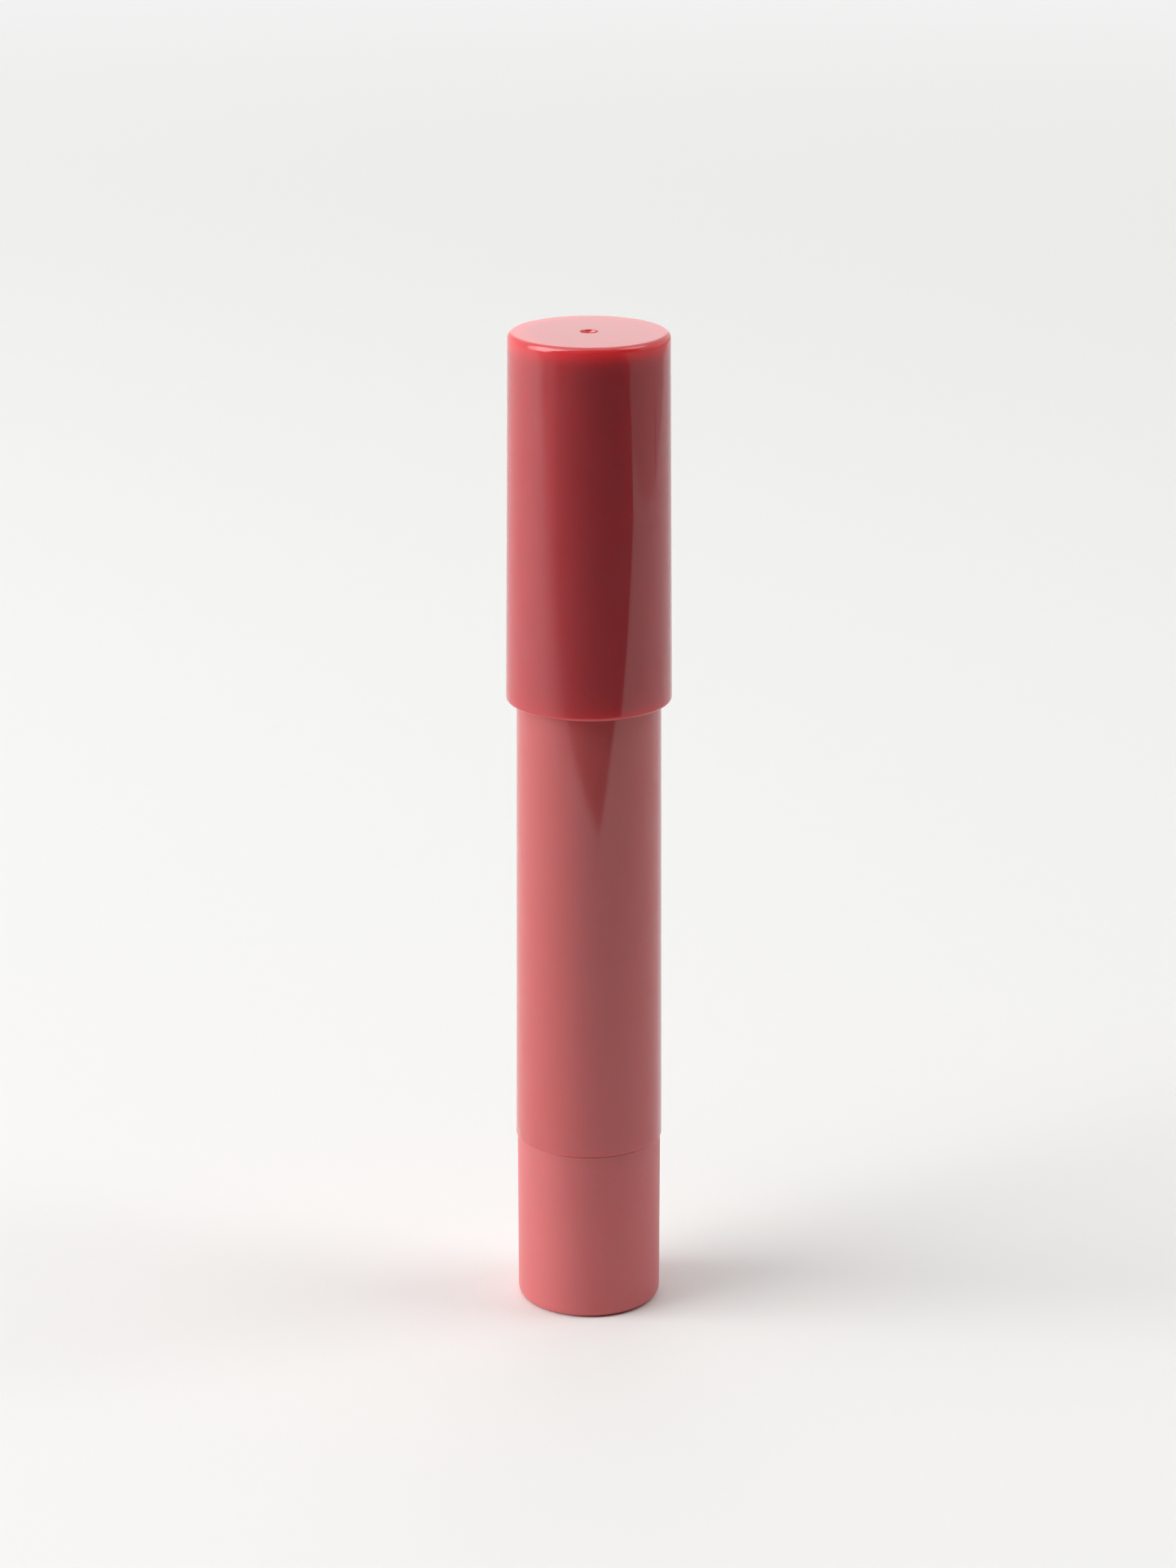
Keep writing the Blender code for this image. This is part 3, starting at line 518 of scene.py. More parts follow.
def eroded_pits(tree, place, tint, gloss, height):
    """Spark-eroded pits, worn smooth on the edges round the foot and under the seam."""
    pits = add_node(tree, "ShaderNodeTexVoronoi", {"Vector": place, "Scale": 1 / 0.00016})
    mixed = {0: pits.outputs["Distance"], 1: 0.8, 2: height}
    mixed = add_node(tree, "ShaderNodeMath", mixed, operation="MULTIPLY_ADD")
    rise = add_node(tree, "ShaderNodeSeparateXYZ", {"Vector": place})
    foot = add_node(tree, "ShaderNodeMapRange", {
        "Value": rise.outputs["Z"], "From Min": 0.0001, "From Max": 0.001,
    })
    top = BOX["twist_base"][1].z
    head = add_node(tree, "ShaderNodeMapRange", {
        "Value": rise.outputs["Z"], "From Min": top, "From Max": top - 0.0004,
    })
    rough = {0: foot.outputs[0], 1: head.outputs[0]}
    rough = add_node(tree, "ShaderNodeMath", rough, operation="MULTIPLY").outputs[0]
    fresh = {0: mixed.outputs[0], 1: rough}
    fresh = add_node(tree, "ShaderNodeMath", fresh, operation="MULTIPLY")
    worn = add_node(tree, "ShaderNodeMapRange", {"Value": rough, "To Min": 0.8, "To Max": 1.0})
    gloss = {0: gloss, 1: worn.outputs[0]}
    gloss = add_node(tree, "ShaderNodeMath", gloss, operation="MULTIPLY")
    return tint, gloss.outputs[0], fresh.outputs[0]


def pigment_swirl(tree, place, tint, gloss, height):
    """Streaks of pigment that were stirred in, and a bloom that dulls the wax here and there."""
    stirred = add_node(tree, "ShaderNodeTexNoise", {
        "Vector": place, "Scale": 240.0, "Detail": 1.0, "Distortion": 1.2,
    })
    streaks = add_node(tree, "ShaderNodeMapRange", {
        "Value": stirred.outputs["Fac"], "From Min": 0.35, "From Max": 0.7, "To Max": 0.2,
    })
    tint = add_node(tree, "ShaderNodeMix", {
        "Factor": streaks.outputs[0], "A": tint, "B": rgba(linear("#97404a")),
    }, data_type="RGBA")
    bloom = add_node(tree, "ShaderNodeTexNoise", {"Vector": place, "Scale": 600.0, "Detail": 3.0})
    gloss = {0: bloom.outputs["Fac"], 1: 0.15, 2: gloss}
    gloss = add_node(tree, "ShaderNodeMath", gloss, operation="MULTIPLY_ADD")
    return tint.outputs["Result"], gloss.outputs[0], height


def rubber_dust(tree, place, tint, gloss, height):
    """The grey bloom that creeps out of the rubber in specks."""
    specks = add_node(tree, "ShaderNodeTexNoise", {"Vector": place, "Scale": 4000.0, "Detail": 2.0})
    share = add_node(tree, "ShaderNodeMapRange", {
        "Value": specks.outputs["Fac"], "From Min": 0.55, "From Max": 0.75, "To Max": 0.4,
    })
    tint = add_node(tree, "ShaderNodeMix", {
        "Factor": share.outputs[0], "A": tint, "B": rgba(linear("#5c5c5c")),
    }, data_type="RGBA")
    return tint.outputs["Result"], gloss, height


def polished_polypropylene(s):
    """Cap. Moulded against polished steel: a clean gloss that swims a little over a body that
    light runs into, so its edges glow a deeper red."""
    return moulded(
        "polished_polypropylene", s.colour, s.roughness, drift=0.012, grain=0.004,
        depth=0.000004, glow=0.007, reach=(1.0, 0.12, 0.1), ior=1.49, change=gate_blush_and_painted_highlight,
    )


def natural_polypropylene(s):
    """Liner. Uncoloured and off a plain mould: milky, waxy and cloudy in patches."""
    return moulded(
        "natural_polypropylene", s.liner_colour, 0.35, drift=0.006, stretch=2.0, swing=0.04,
        glow=0.002, reach=(1.0, 0.9, 0.8), ior=1.49,
    )


def satin_abs(s):
    """Barrel. Off a finely blasted mould: a satin gloss with an unevenness 0.6 mm wide, which
    softens what is mirrored, and faint lines along it."""
    return moulded(
        "satin_abs", s.colour, s.roughness, grain=0.0006, depth=0.0000015, glow=0.0012, ior=1.52,
        change=draw_lines,
    )


def gloss_abs(s):
    """Nozzle. Off a smooth mould: glossier and plainer than the barrel that it plugs."""
    return moulded("gloss_abs", s.colour, 0.16, drift=0.01, depth=0.000002, glow=0.001, ior=1.52)


def eroded_abs(s):
    """Knob. Off a spark-eroded mould: matte, with pits that are really 0.03 to 0.06 mm wide.
    They are drawn 0.16 mm wide, or the render would not show them."""
    return moulded(
        "eroded_abs", s.colour, s.roughness, drift=0.012, stretch=2.0, swing=0.04, grain=0.0003,
        depth=0.000007, haze=0.1, glow=0.001, ior=1.52, change=eroded_pits,
    )


def cast_wax(s):
    """Lip color. Cast in a smooth mould: waxy, soft at its edges, with streaks of pigment."""
    return moulded(
        "cast_wax", s.wax, 0.28, drift=0.004, stretch=1.0, swing=0.05, grain=0.0007,
        depth=0.000005, haze=0.1, glow=0.0015, reach=(1.0, 0.4, 0.35), ior=1.44,
        change=pigment_swirl,
    )


def natural_acetal(s):
    """Bush, sleeve, stem and cup. Uncoloured acetal: dense white, slippery, with a low sheen."""
    return moulded(
        "natural_acetal", s.acetal, 0.32, drift=0.005, stretch=1.5, swing=0.025, grain=0.0008,
        haze=0.1, glow=0.0008, reach=(1.0, 0.95, 0.85), ior=1.48,
    )


def nitrile_rubber(s):
    """Drag ring. Pressed nitrile rubber: near black and dull, greyed by specks of bloom."""
    return moulded(
        "nitrile_rubber", s.ring_colour, 0.6, drift=0.003, stretch=1.0, swing=0.15, grain=0.0002,
        depth=0.000006, ior=1.52, change=rubber_dust,
    )


def matt_paper(s):
    """Floor. Matt paper: even and pale, with a fibre too fine to see but for a dry look. Far from
    the stick it passes into the backdrop, as a paper sweep does."""
    material, tree, shader, place = new_material("matt_paper")
    away = add_node(tree, "ShaderNodeVectorMath", {0: place}, operation="LENGTH")
    far = add_node(tree, "ShaderNodeMapRange", {
        "Value": away.outputs["Value"], "From Min": 0.3, "From Max": 1.3,
    }, interpolation_type="SMOOTHSTEP")
    share = {0: far.outputs[0], 1: seen_rays(tree)}
    share = add_node(tree, "ShaderNodeMath", share, operation="MULTIPLY")
    sweep = add_node(tree, "ShaderNodeEmission", {"Color": WHITE, "Strength": s.backdrop})
    mixed = add_node(tree, "ShaderNodeMixShader", {
        0: share.outputs[0], 1: shader.outputs["BSDF"], 2: sweep.outputs["Emission"],
    })
    tree.links.new(mixed.outputs[0], tree.nodes["Material Output"].inputs["Surface"])
    fibre = add_node(tree, "ShaderNodeTexNoise", {"Vector": place, "Scale": 900.0, "Detail": 3.0})
    relief = add_node(tree, "ShaderNodeBump", {"Height": fibre.outputs["Fac"], "Distance": 0.00002})
    tree.links.new(relief.outputs["Normal"], shader.inputs["Normal"])
    shader.inputs["Base Color"].default_value = rgba(s.floor)
    shader.inputs["Roughness"].default_value = 0.8
    return material


def felt(name, colour):
    """Dull cloth over a stage board, which takes light away and mirrors nothing. It lets light
    through from behind, so that a sheet doesn't darken the floor under it."""
    material, tree, shader, _ = new_material(name)
    behind = add_node(tree, "ShaderNodeNewGeometry", {}).outputs["Backfacing"]
    clear = add_node(tree, "ShaderNodeBsdfTransparent", {})
    mixed = add_node(tree, "ShaderNodeMixShader", {
        0: behind, 1: shader.outputs["BSDF"], 2: clear.outputs["BSDF"],
    })
    tree.links.new(mixed.outputs[0], tree.nodes["Material Output"].inputs["Surface"])
    shader.inputs["Base Color"].default_value = rgba(linear(colour))
    shader.inputs["Roughness"].default_value = 1.0
    shader.inputs["Specular IOR Level"].default_value = 0.0
    return material


def painted_shade_felt(s):
    """Cloth with painted shade: it fades from the floor's white to grey in front, a painted
    penumbra at the sheet's edge, and to black towards the middle.
    """
    material = felt("painted_shade_felt", "#000000")
    tree = material.node_tree
    place = tree.nodes["Texture Coordinate"].outputs["Object"]
    axes = add_node(tree, "ShaderNodeSeparateXYZ", {"Vector": place})
    across = {0: axes.outputs["X"], 1: axes.outputs["Y"]}
    across = add_node(tree, "ShaderNodeMath", across, operation="SUBTRACT")
    middle = add_node(tree, "ShaderNodeMapRange", {
        "Value": across.outputs[0], "From Min": -0.06, "From Max": 0.03,
    })
    # Painted shade: grey in front, and black towards the middle
    grey = add_node(tree, "ShaderNodeMix", {
        "Factor": middle.outputs[0], "A": rgba(linear("#8e8e8c")), "B": (0, 0, 0, 1),
    }, data_type="RGBA")
    forward = add_node(tree, "ShaderNodeMapRange", {
        "Value": axes.outputs["Y"],
        "From Min": 0.05 - s.sheet_front, "From Max": -0.06 - s.sheet_front,
    }, interpolation_type="SMOOTHSTEP")
    shade = add_node(tree, "ShaderNodeMix", {
        "Factor": forward.outputs[0], "A": rgba(s.floor), "B": grey.outputs["Result"],
    }, data_type="RGBA")
    tree.links.new(shade.outputs["Result"], tree.nodes["Principled BSDF"].inputs["Base Color"])
    return material


class STICK_OT_cap(bpy.types.Operator):
    """Models the glossy cap with its gate mark and its inner ribs"""

    bl_idname = "stick.cap"
    bl_label = "Cap"

    def execute(self, context):
        s = context.scene.stick_cap
        low, high = BOX["cap"]
        ceiling = high.z - s.top

        def outer(height):
            return high.x - s.draft * (height - low.z) / (high.z - low.z)

        bore = outer(ceiling) - s.wall
        # The shrunk band's middle, and how far it runs out above and below
        sunk, fade = ceiling - 0.0018, 0.0012
        # The dimple's floor, and the height at which its wall meets it
        dimple, bend = high.z - 0.0004, high.z - 0.0003
        cap = turned("cap_shell", [
            (0, ceiling),
            (bore, ceiling, 0.0006),
            (outer(low.z) - s.wall, low.z, 0.00008),
            (outer(low.z), low.z, s.rim_rounding),
            (outer(sunk - fade), sunk - fade, 0.0006),
            (outer(sunk) - s.sink, sunk, 0.0006),
            (outer(sunk + fade), sunk + fade, 0.0006),
            (outer(high.z), high.z, s.top_rounding),
            (s.gate, high.z, 0.00006),
            (s.gate * 0.85, bend, 0.0002),
            (0, dimple),
        ], 192, 6)
        nub_foot, nub_top, off_centre = high.z - 0.0007, high.z - 0.00002, 0.00036
        nub = turned("gate_nub", [
            (0, nub_foot),
            (s.nub, nub_foot),
            (s.nub, high.z - 0.00004, 0.00005),
            (0, nub_top),
        ], 48)
        nub.location.x = off_centre
        bpy.ops.object.transform_apply()
        combine(cap, nub, "UNION")
        rib_foot, rib_top = 0.0846, ceiling + s.top / 2
        ribs = spokes("cap_ribs", 6, bore - s.rib, bore + s.wall / 2, s.rib, rib_foot, rib_top)
        combine(cap, ribs, "UNION")
        finish(cap, "cap", polished_polypropylene(s))
        return {"FINISHED"}


class STICK_OT_cap_liner(bpy.types.Operator):
    """Models the sleeve that grips the nozzle inside the cap"""

    bl_idname = "stick.cap_liner"
    bl_label = "Cap liner"

    def execute(self, context):
        s = context.scene.stick_cap
        low, high = BOX["cap_liner"]
        # It narrows as the cap does
        cap_length = 0.03814
        top = high.x - s.draft * (high.z - low.z) / cap_length
        land_top = NECK_BEAD + 0.0024
        # The groove that snaps over the neck's bead
        groove, flat, reach = s.liner_land + 0.0002, 0.00035, 0.0007
        liner = turned("cap_liner_sleeve", [
            (s.liner_land, low.z, 0.00015),
            (high.x, low.z, 0.00012),
            (top, high.z, 0.00012),
            (top - s.liner_wall, high.z, 0.0001),
            (top - s.liner_wall, land_top + s.liner_wall, 0.0002),
            (s.liner_land, land_top, 0.00015),
            (s.liner_land, NECK_BEAD + reach),
            (groove, NECK_BEAD + flat, 0.00015),
            (groove, NECK_BEAD - flat, 0.00015),
            (s.liner_land, NECK_BEAD - reach),
        ], 144, 4)
        finish(liner, "cap_liner", natural_polypropylene(s))
        return {"FINISHED"}


class STICK_OT_barrel(bpy.types.Operator):
    """Models the satin barrel with its inner ledge, snap groove and key slots"""

    bl_idname = "stick.barrel"
    bl_label = "Barrel"

    def execute(self, context):
        s = context.scene.stick_barrel
        low, high = BOX["barrel"]
        foot, lead_in = low.z - (SEAM - s.seam) / 2, 0.0003
        ledge_bottom, ledge_top = 0.03476, 0.03556
        # The groove for the sleeve's snap bead
        groove, flat, reach = BORE + 0.0005, 0.0004, 0.0008
        barrel = turned("barrel_tube", [
            (BORE + lead_in, foot),
            (high.x, foot, s.foot_rounding),
            (high.x - s.taper, high.z, s.top_rounding),
            (BORE, high.z, 0.0001),
            (BORE, ledge_top),
            (s.ledge, ledge_top, 0.0001),
            (s.ledge, ledge_bottom, 0.0001),
            (BORE, ledge_bottom),
            (BORE, SNAP_HEIGHT + reach),
            (groove, SNAP_HEIGHT + flat, 0.0002),
            (groove, SNAP_HEIGHT - flat, 0.0002),
            (BORE, SNAP_HEIGHT - reach),
            (BORE, foot + lead_in),
        ], 192, 4)
        slot, slot_bottom = 0.00675, 0.0622
        slots = spokes(
            "key_slots", KEYS, BORE - SEAT_GAP, slot, s.key + 2 * SEAT_GAP, slot_bottom,
            high.z + OVERRUN,
        )
        combine(barrel, slots, "DIFFERENCE")
        finish(barrel, "barrel", satin_abs(s))
        return {"FINISHED"}


class STICK_OT_nozzle(bpy.types.Operator):
    """Models the nozzle that the colour comes out of, with its snap bead, keys and notches"""

    bl_idname = "stick.nozzle"
    bl_label = "Nozzle"

    def execute(self, context):
        s = context.scene.stick_barrel
        low, high = BOX["nozzle"]
        bore, tube, neck = 0.00565, 0.00615, 0.00645
        flange_top = FLANGE_BOTTOM + 0.0008
        bead, reach = neck + 0.0002, 0.0004
        neck_top, land_foot, bore_top = 0.072, high.z - 0.0018, high.z - 0.0025
        nozzle = turned("nozzle_sleeve", [
            (bore, low.z, 0.0001),
            (tube, low.z, 0.0001),
            (tube, FLANGE_BOTTOM),
            (high.x, FLANGE_BOTTOM, 0.0001),
            (high.x, flange_top, 0.0002),
            (neck, flange_top, 0.0001),
            (neck, NECK_BEAD - reach),
            (bead, NECK_BEAD, 0.0003),
            (neck, NECK_BEAD + reach),
            (neck, neck_top, 0.0006),
            (s.mouth + 0.0007, high.z, 0.0003),
            (s.mouth, high.z, 0.00015),
            (s.mouth, land_foot, 0.0003),
            (bore, bore_top, 0.0003),
        ], 160, 4)
        key, key_bottom, key_top = 0.0066, 0.0625, FLANGE_BOTTOM + 0.0004
        keys = spokes("nozzle_keys", KEYS, bore + 0.00025, key, s.key, key_bottom, key_top)
        combine(nozzle, keys, "UNION")
        notches = spokes(
            "lug_notches", LUGS, bore - OVERRUN, tube + OVERRUN, LUG_WIDTH + 2 * SEAT_GAP,
            low.z - OVERRUN, BUSH_TOP + LUG_RISE + SEAT_GAP,
        )
        combine(nozzle, notches, "DIFFERENCE")
        finish(nozzle, "nozzle", gloss_abs(s))
        return {"FINISHED"}


class STICK_OT_guide_bush(bpy.types.Operator):
    """Models the bush whose flatted hole keeps the stem from turning"""

    bl_idname = "stick.guide_bush"
    bl_label = "Guide bush"

    def execute(self, context):
        low, high = BOX["guide_bush"]
        chamfer, slack = 0.0003, 0.00025
        bush = turned("bush_disc", [
            (0, low.z),
            (high.x - chamfer, low.z, 0.00015),
            (high.x, low.z + chamfer, 0.00015),
            (high.x, BUSH_TOP, 0.0002),
            (0, BUSH_TOP),
        ])
        lugs = spokes(
            "bush_lugs", LUGS, high.x - 0.0005, high.x - 0.0001, LUG_WIDTH, BUSH_TOP - 0.0003,
            BUSH_TOP + LUG_RISE,
        )
        combine(bush, lugs, "UNION")
        hole = double_d(
            "bush_hole", STEM_CREST + slack, STEM_FLAT + slack, low.z - OVERRUN,
            BUSH_TOP + OVERRUN,
        )
        combine(bush, hole, "DIFFERENCE")
        finish(bush, "guide_bush", natural_acetal(context.scene.stick_carrier))
        return {"FINISHED"}


class STICK_OT_knob(bpy.types.Operator):
    """Models the matte knob that the stick stands on, with the ribs that turn its sleeve"""

    bl_idname = "stick.knob"
    bl_label = "Knob"

    def execute(self, context):
        s = context.scene.stick_knob
        high = BOX["twist_base"][1]
        head = high.z + (SEAM - context.scene.stick_barrel.seam) / 2
        # The knob is a hair narrower at its foot, and stands on a ring round its recess
        foot = high.x - 0.000035
        ring = foot - s.foot_rounding - 0.0011
        gate_top = s.recess + 0.00025
        knob = turned("knob_shell", [
            (0, gate_top),
            (0.0005, gate_top, 0.0001),
            (0.0007, s.recess, 0.0001),
            (ring, s.recess, 0.0001),
            (ring + s.recess, 0, 0.0001),
            (foot, 0, s.foot_rounding),
            (high.x, head, s.top_rounding),
            (s.bore, head, 0.0002),
            (s.bore, s.floor, 0.0002),
            (0, s.floor),
        ], 192, 6)
        reach, rib_top = 0.0005, 0.0124
        ribs = spokes(
            "knob_ribs", SPLINES, s.bore - reach, s.bore + reach, s.rib, s.floor / 2, rib_top
        )
        combine(knob, ribs, "UNION")
        finish(knob, "twist_base", eroded_abs(s))
        return {"FINISHED"}


class STICK_OT_drive_sleeve(bpy.types.Operator):
    """Models the turning sleeve whose upper end is the nut"""

    bl_idname = "stick.drive_sleeve"
    bl_label = "Drive sleeve"

    def execute(self, context):
        s = context.scene.stick_knob
        low, high = BOX["drive_sleeve"]
        bore, tube, chamfer, ring = 0.0045, 0.0061, 0.0004, 0.02266
        # The drag ring's groove, and the bead that snaps into the barrel
        groove, half = tube - 0.00095, s.ring + 0.00015
        bead, flat, reach = tube + 0.00055, 0.000225, 0.00045
        sleeve = turned("drive_sleeve_tube", [
            (0, THREAD_START),
            (bore, THREAD_START, 0.0003),
            (bore, low.z, 0.0001),
            (tube, low.z, 0.0002),
            (tube, ring - half, 0.00005),
            (groove, ring - half),
            (groove, ring + half),
            (tube, ring + half, 0.00005),
            (tube, SNAP_HEIGHT - reach),
            (bead, SNAP_HEIGHT - flat, 0.00015),
            (bead, SNAP_HEIGHT + flat, 0.00015),
            (tube, SNAP_HEIGHT + reach),
            (tube, high.z - chamfer, 0.0001),
            (tube - chamfer, high.z, 0.0001),
            (0, high.z),
        ])
        nut = thread(
            "nut_thread", STEM_ROOT + THREAD_GAP, STEM_CREST + THREAD_GAP, THREAD_GAP,
            THREAD_START - OVERRUN, high.z + OVERRUN, context.scene.stick_carrier.thread_steps,
        )
        combine(sleeve, nut, "DIFFERENCE")
        slot, slot_top = 0.0056, 0.0127
        slots = spokes(
            "sleeve_slots", SPLINES, slot, tube + OVERRUN, s.rib + 2 * SEAT_GAP,
            low.z - OVERRUN, slot_top,
        )
        combine(sleeve, slots, "DIFFERENCE")
        finish(sleeve, "drive_sleeve", natural_acetal(context.scene.stick_carrier))
        return {"FINISHED"}


class STICK_OT_drag_ring(bpy.types.Operator):
    """Models the rubber ring that gives the twist its drag"""

    bl_idname = "stick.drag_ring"
    bl_label = "Drag ring"

    def execute(self, context):
        s = context.scene.stick_knob
        low, high = BOX["drag_ring"]
        middle, radius = (low.z + high.z) / 2, high.x - s.ring
        steps, fin = 24, 1.02
        corners = []
        for step in range(steps):
            turn = math.tau * (step + 0.5) / steps
            corners.append((radius + s.ring * math.cos(turn), middle + s.ring * math.sin(turn)))
            # The mould's halves leave a fine fin at the ring's waist
            if step == steps // 2 - 1:
                corners.append((radius - s.ring * fin, middle))
        corners.append((radius + s.ring, middle))
        ring = turned("drag_ring_cord", corners)
        finish(ring, "drag_ring", nitrile_rubber(s))
        return {"FINISHED"}


class STICK_OT_screw_stem(bpy.types.Operator):
    """Models the two-start screw stem with its two flats"""

    bl_idname = "stick.screw_stem"
    bl_label = "Screw stem"

    def execute(self, context):
        s = context.scene.stick_carrier
        low, high = BOX["screw_stem"]
        top, past_crest = 0.03906, STEM_CREST + OVERRUN
        # Uneven overruns and an odd number of facets keep the cuts off the thread's own edges
        stem = thread(
            "stem_thread", STEM_ROOT, STEM_CREST, 0, low.z - 1.37 * OVERRUN, top + 1.13 * OVERRUN,
            s.thread_steps,
        )
        collar_bottom = top - 0.0012
        collar = turned("stem_collar", [
            (0, collar_bottom),
            (STEM_CREST, collar_bottom),
            (STEM_CREST, top + OVERRUN),
            (0, top + OVERRUN),
        ], s.thread_steps - 1)
        combine(stem, collar, "UNION")
        chamfer = 0.0009
        tip = turned("stem_tip", [
            (0, low.z),
            (STEM_CREST - chamfer, low.z),
            (past_crest, low.z + chamfer + OVERRUN),
            (past_crest, top),
            (0, top),
        ], 64)
        combine(stem, tip, "INTERSECT")
        flats = double_d("stem_flats", past_crest, STEM_FLAT, low.z - OVERRUN, top + OVERRUN)
        combine(stem, flats, "INTERSECT")
        plug_root = top - 0.0005
        plug = turned("stem_plug", [
            (0, plug_root),
            (PLUG_RADIUS, plug_root),
            (PLUG_RADIUS, high.z, 0.0003),
            (0, high.z),
        ], 64)
        combine(stem, plug, "UNION")
        finish(stem, "screw_stem", natural_acetal(s))
        return {"FINISHED"}


class STICK_OT_carrier_cup(bpy.types.Operator):
    """Models the cup whose fingers hold the stick of lip color"""

    bl_idname = "stick.carrier_cup"
    bl_label = "Carrier cup"

    def execute(self, context):
        s = context.scene.stick_carrier
        low, high = BOX["carrier_cup"]
        floor = low.z + 0.001
        # The boss that takes the stem's plug
        hole, hole_top = PLUG_RADIUS + SEAT_GAP, floor + 0.0017
        boss, boss_top = PLUG_RADIUS + 0.0008, floor + 0.0022
        cup = turned("cup_shell", [
            (0, hole_top),
            (hole, hole_top, 0.0002),
            (hole, low.z, 0.0001),
            (high.x, low.z, 0.00015),
            (high.x, high.z, 0.00012),
            (s.cup_bore, high.z, 0.00012),
            (s.cup_bore, floor, 0.0002),
            (boss, floor, 0.0002),
            (boss, boss_top, 0.0001),
            (0, boss_top),
        ])
        fingers, finger_length = 4, 0.0042
        slits = spokes(
            "cup_slits", fingers, s.cup_bore - OVERRUN, high.x + OVERRUN, s.slit,
            high.z - finger_length, high.z + OVERRUN,
        )
        combine(cup, slits, "DIFFERENCE")
        finish(cup, "carrier_cup", natural_acetal(s))
        return {"FINISHED"}


class STICK_OT_lip_color(bpy.types.Operator):
    """Models the stick of lip color"""

    bl_idname = "stick.lip_color"
    bl_label = "Lip color"

    def execute(self, context):
        s = context.scene.stick_carrier
        low, high = BOX["color_bullet"]
        # Its foot is cast round the cup's boss
        hollow, hollow_top = PLUG_RADIUS + 0.0011, low.z + 0.0022
        corners = [
            (0, hollow_top),
            (hollow, hollow_top, 0.0002),
            (hollow, low.z),
            (high.x, low.z, 0.0003),
        ]
        for step in range(s.nose_steps):
            share = math.sin(math.pi / 2 * step / s.nose_steps)
            out = (1 - share**s.nose_power) ** (1 / s.nose_power)
            corners.append((high.x * out, high.z - s.nose * (1 - share)))
        corners.append((0, high.z))
        bullet = turned("lip_color_stick", corners, 144, 4)
        finish(bullet, "color_bullet", cast_wax(s))
        return {"FINISHED"}


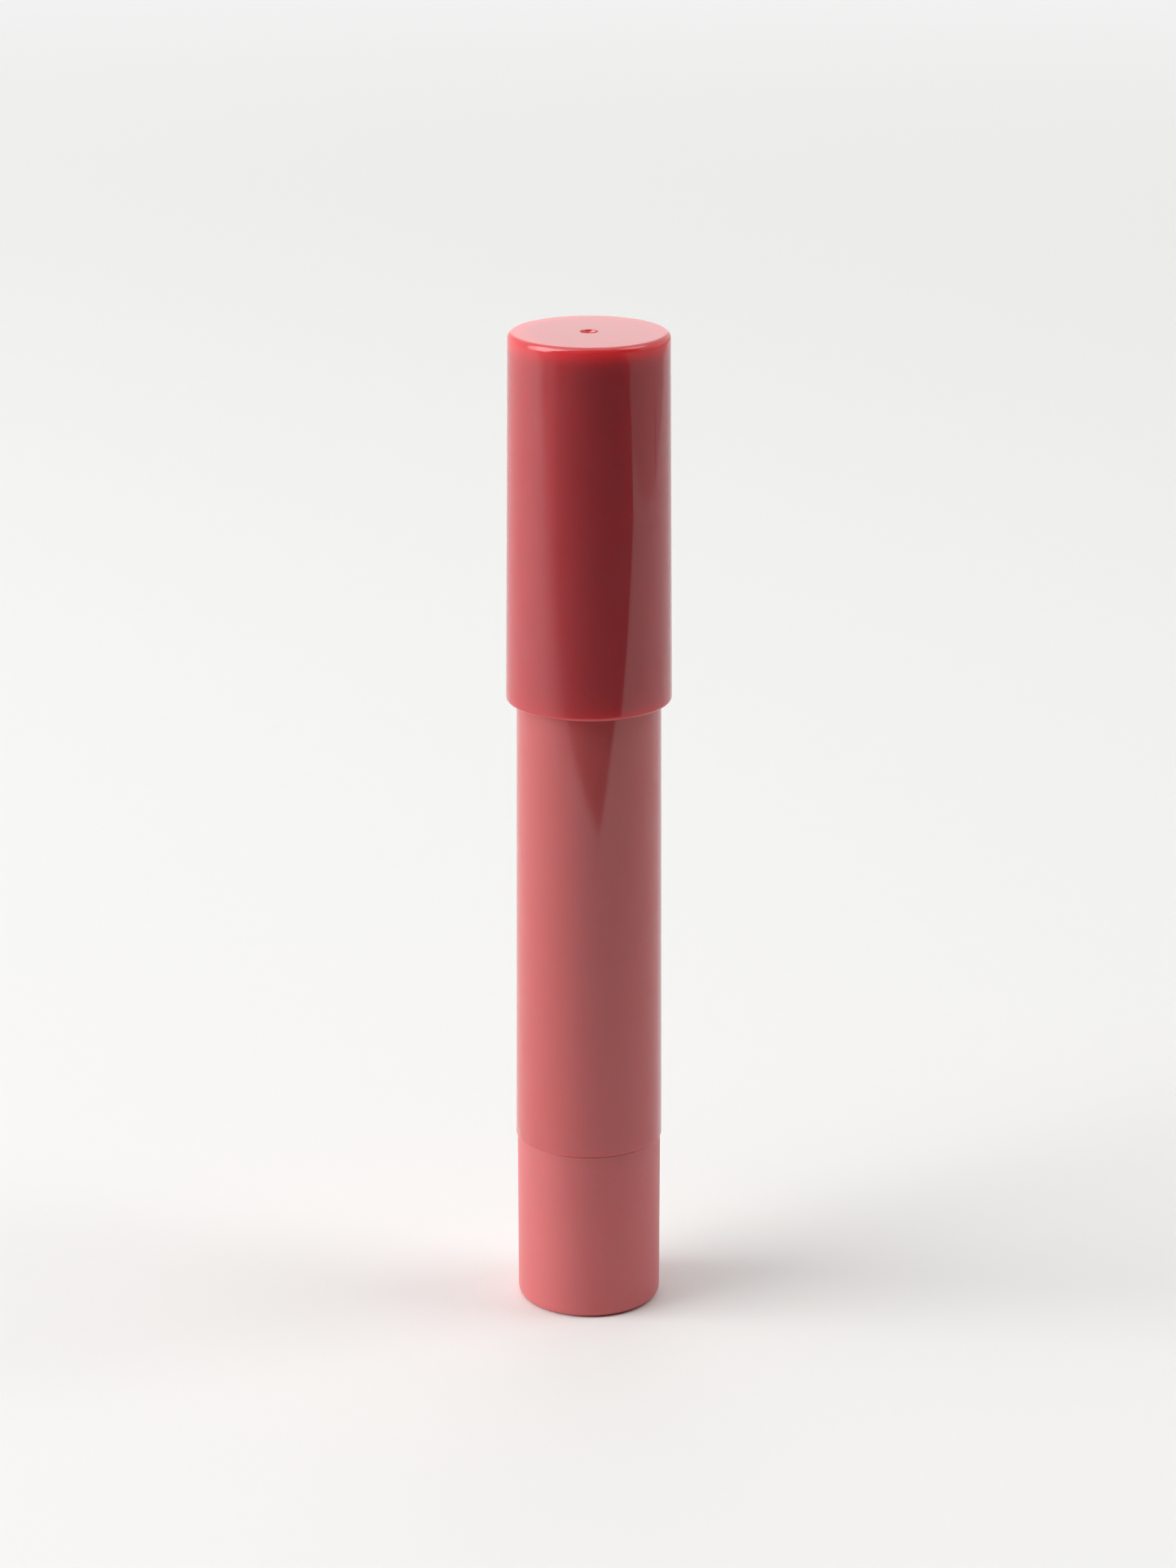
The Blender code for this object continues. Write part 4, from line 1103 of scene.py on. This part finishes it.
class STICK_OT_studio(bpy.types.Operator):
    """Lays the floor, sets the lamps and places the camera"""

    bl_idname = "stick.studio"
    bl_label = "Studio"

    def execute(self, context):
        scene = context.scene
        s = scene.stick_studio
        scene.view_settings.view_transform = "Standard"
        self.add_floor(s)
        for lamp in LAMPS:
            self.add_lamp(s, *lamp)
        self.add_lamp(s, *CARD).visible_diffuse = False
        scene.world = self.add_world(s)
        bpy.ops.object.camera_add(location=CAMERA_PLACE, rotation=(CAMERA_TILT, 0, 0))
        camera = bpy.context.object
        camera.data.sensor_width = SENSOR
        camera.data.lens = SENSOR * PHOTO_FOCAL / PHOTO_HEIGHT
        camera.data.clip_start = 0.01
        camera.data.clip_end = 20.0
        scene.camera = camera
        return {"FINISHED"}

    def add_floor(self, s):
        """The floor, and the sheets that make the bands mirrored in the cap and barrel."""
        bpy.ops.mesh.primitive_plane_add(size=12)
        floor = bpy.context.object
        floor.name = "floor"
        floor.data.materials.append(matt_paper(s))
        front, right, far = -s.sheet_front, s.sheet_right, 3.0
        black = felt("black_felt", "#000000")
        dim = felt("grey_felt", "#c8c8c6")
        side, tip, corner = -0.12, 0.046, 0.341
        self.add_flag("front_flag", black, 0.0012, [
            (side, front - 0.005), (-0.05, front - 0.014), (0.004, front - 0.004),
            (tip, front + 0.014), (0.1, front + 0.006), (0.2, front + 0.015),
            (0.318, front + 0.02), (corner, front + 0.006), (0.427, front - 0.09),
            (far, front - far), (side, front - far),
        ])
        # The left sheet carries painted shade: its white fades to grey and black in front
        self.add_flag("left_flag", painted_shade_felt(s), 0.0008, [
            (side, front + 0.05), (-far, front + 0.05), (-far, front - far), (side, front - far),
        ])
        self.add_flag("right_flag", dim, 0.0008, [
            (corner, front), (right, front), (right, far), (far, far), (far, front - far),
        ])
        self.add_flag("gap_flag", black, 0.0016, [
            (0.335, 0.09), (0.4, 0.117), (0.44, 0.128), (0.45, 0.118), (0.4, 0.103),
        ])
        self.add_board(black)

    def add_flag(self, name, material, height, outline):
        """A sheet over the floor that only mirrors and soft light see."""
        flag = traced(name, [(*corner, height) for corner in outline])
        bpy.ops.mesh.edge_face_add()
        bm = bmesh.from_edit_mesh(flag.data)
        bm.normal_update()
        if any(face.normal.z < 0 for face in bm.faces):
            bpy.ops.mesh.flip_normals()
        bpy.ops.object.mode_set(mode="OBJECT")
        flag.data.materials.append(material)
        flag.visible_camera = False
        flag.visible_shadow = False

    def add_board(self, material):
        """The dark room behind the camera."""
        bpy.ops.mesh.primitive_plane_add(
            size=6, location=(0, -0.8, 1.5), rotation=(math.radians(-90), 0, 0)
        )
        board = bpy.context.object
        board.name = "dark_board"
        board.data.materials.append(material)
        board.visible_camera = False

    def add_lamp(self, s, name, bearing, rise, distance, width, watts):
        """A soft square lamp that faces the stick. Bearing 0 is in front, 90 on the right."""
        turn, lift = math.radians(bearing), math.radians(rise)
        out = math.cos(lift)
        arm = Vector((math.sin(turn) * out, -math.cos(turn) * out, math.sin(lift)))
        facing = (-arm).to_track_quat("-Z", "Y").to_euler()
        bpy.ops.object.light_add(type="AREA", location=LAMP_AIM + arm * distance, rotation=facing)
        lamp = bpy.context.object
        lamp.name = name
        lamp.data.shape = "SQUARE"
        lamp.data.size = width
        lamp.data.energy = watts * s.lamps
        lamp.visible_camera = False
        lamp.visible_glossy = width > NARROWEST_MIRRORED
        return lamp

    def add_world(self, s):
        """Light from all round. Where it is seen or mirrored, it has the backdrop's brightness."""
        world = bpy.data.worlds.new("studio_world")
        world.use_nodes = True
        tree = world.node_tree
        tree.nodes.clear()
        strength = add_node(tree, "ShaderNodeMapRange", {
            "Value": seen_rays(tree), "To Min": s.room, "To Max": s.backdrop,
        })
        glow = add_node(tree, "ShaderNodeBackground", {
            "Color": WHITE, "Strength": strength.outputs["Result"],
        })
        add_node(tree, "ShaderNodeOutputWorld", {"Surface": glow.outputs["Background"]})
        return world


class STICK_PT_panel(bpy.types.Panel):
    """Lists the pieces of the stick"""

    bl_idname = "STICK_PT_panel"
    bl_label = "Lip Color Stick"
    bl_space_type = "VIEW_3D"
    bl_region_type = "UI"
    bl_category = "Lip Stick"

    def draw(self, context):
        for group in GROUPS:
            column = self.layout.column()
            for operator in PIECES:
                if PIECES[operator] == group:
                    column.operator(operator.bl_idname)
            settings = getattr(context.scene, group)
            for name in settings.__annotations__:
                column.prop(settings, name)


GROUPS = {
    "stick_studio": StudioSettings,
    "stick_cap": CapSettings,
    "stick_barrel": BarrelSettings,
    "stick_knob": KnobSettings,
    "stick_carrier": CarrierSettings,
}
PIECES = {
    STICK_OT_studio: "stick_studio",
    STICK_OT_cap: "stick_cap",
    STICK_OT_cap_liner: "stick_cap",
    STICK_OT_barrel: "stick_barrel",
    STICK_OT_nozzle: "stick_barrel",
    STICK_OT_guide_bush: "stick_barrel",
    STICK_OT_knob: "stick_knob",
    STICK_OT_drive_sleeve: "stick_knob",
    STICK_OT_drag_ring: "stick_knob",
    STICK_OT_screw_stem: "stick_carrier",
    STICK_OT_carrier_cup: "stick_carrier",
    STICK_OT_lip_color: "stick_carrier",
}


def register():
    for name, group in GROUPS.items():
        bpy.utils.register_class(group)
        setattr(bpy.types.Scene, name, PointerProperty(type=group))
    for operator in PIECES:
        bpy.utils.register_class(operator)
    bpy.utils.register_class(STICK_PT_panel)


def unregister():
    bpy.utils.unregister_class(STICK_PT_panel)
    for operator in reversed(PIECES):
        bpy.utils.unregister_class(operator)
    for name, group in GROUPS.items():
        delattr(bpy.types.Scene, name)
        bpy.utils.unregister_class(group)


def main():
    register()
    for operator in PIECES:
        area, name = operator.bl_idname.split(".")
        getattr(getattr(bpy.ops, area), name)()


if __name__ == "__main__":
    main()
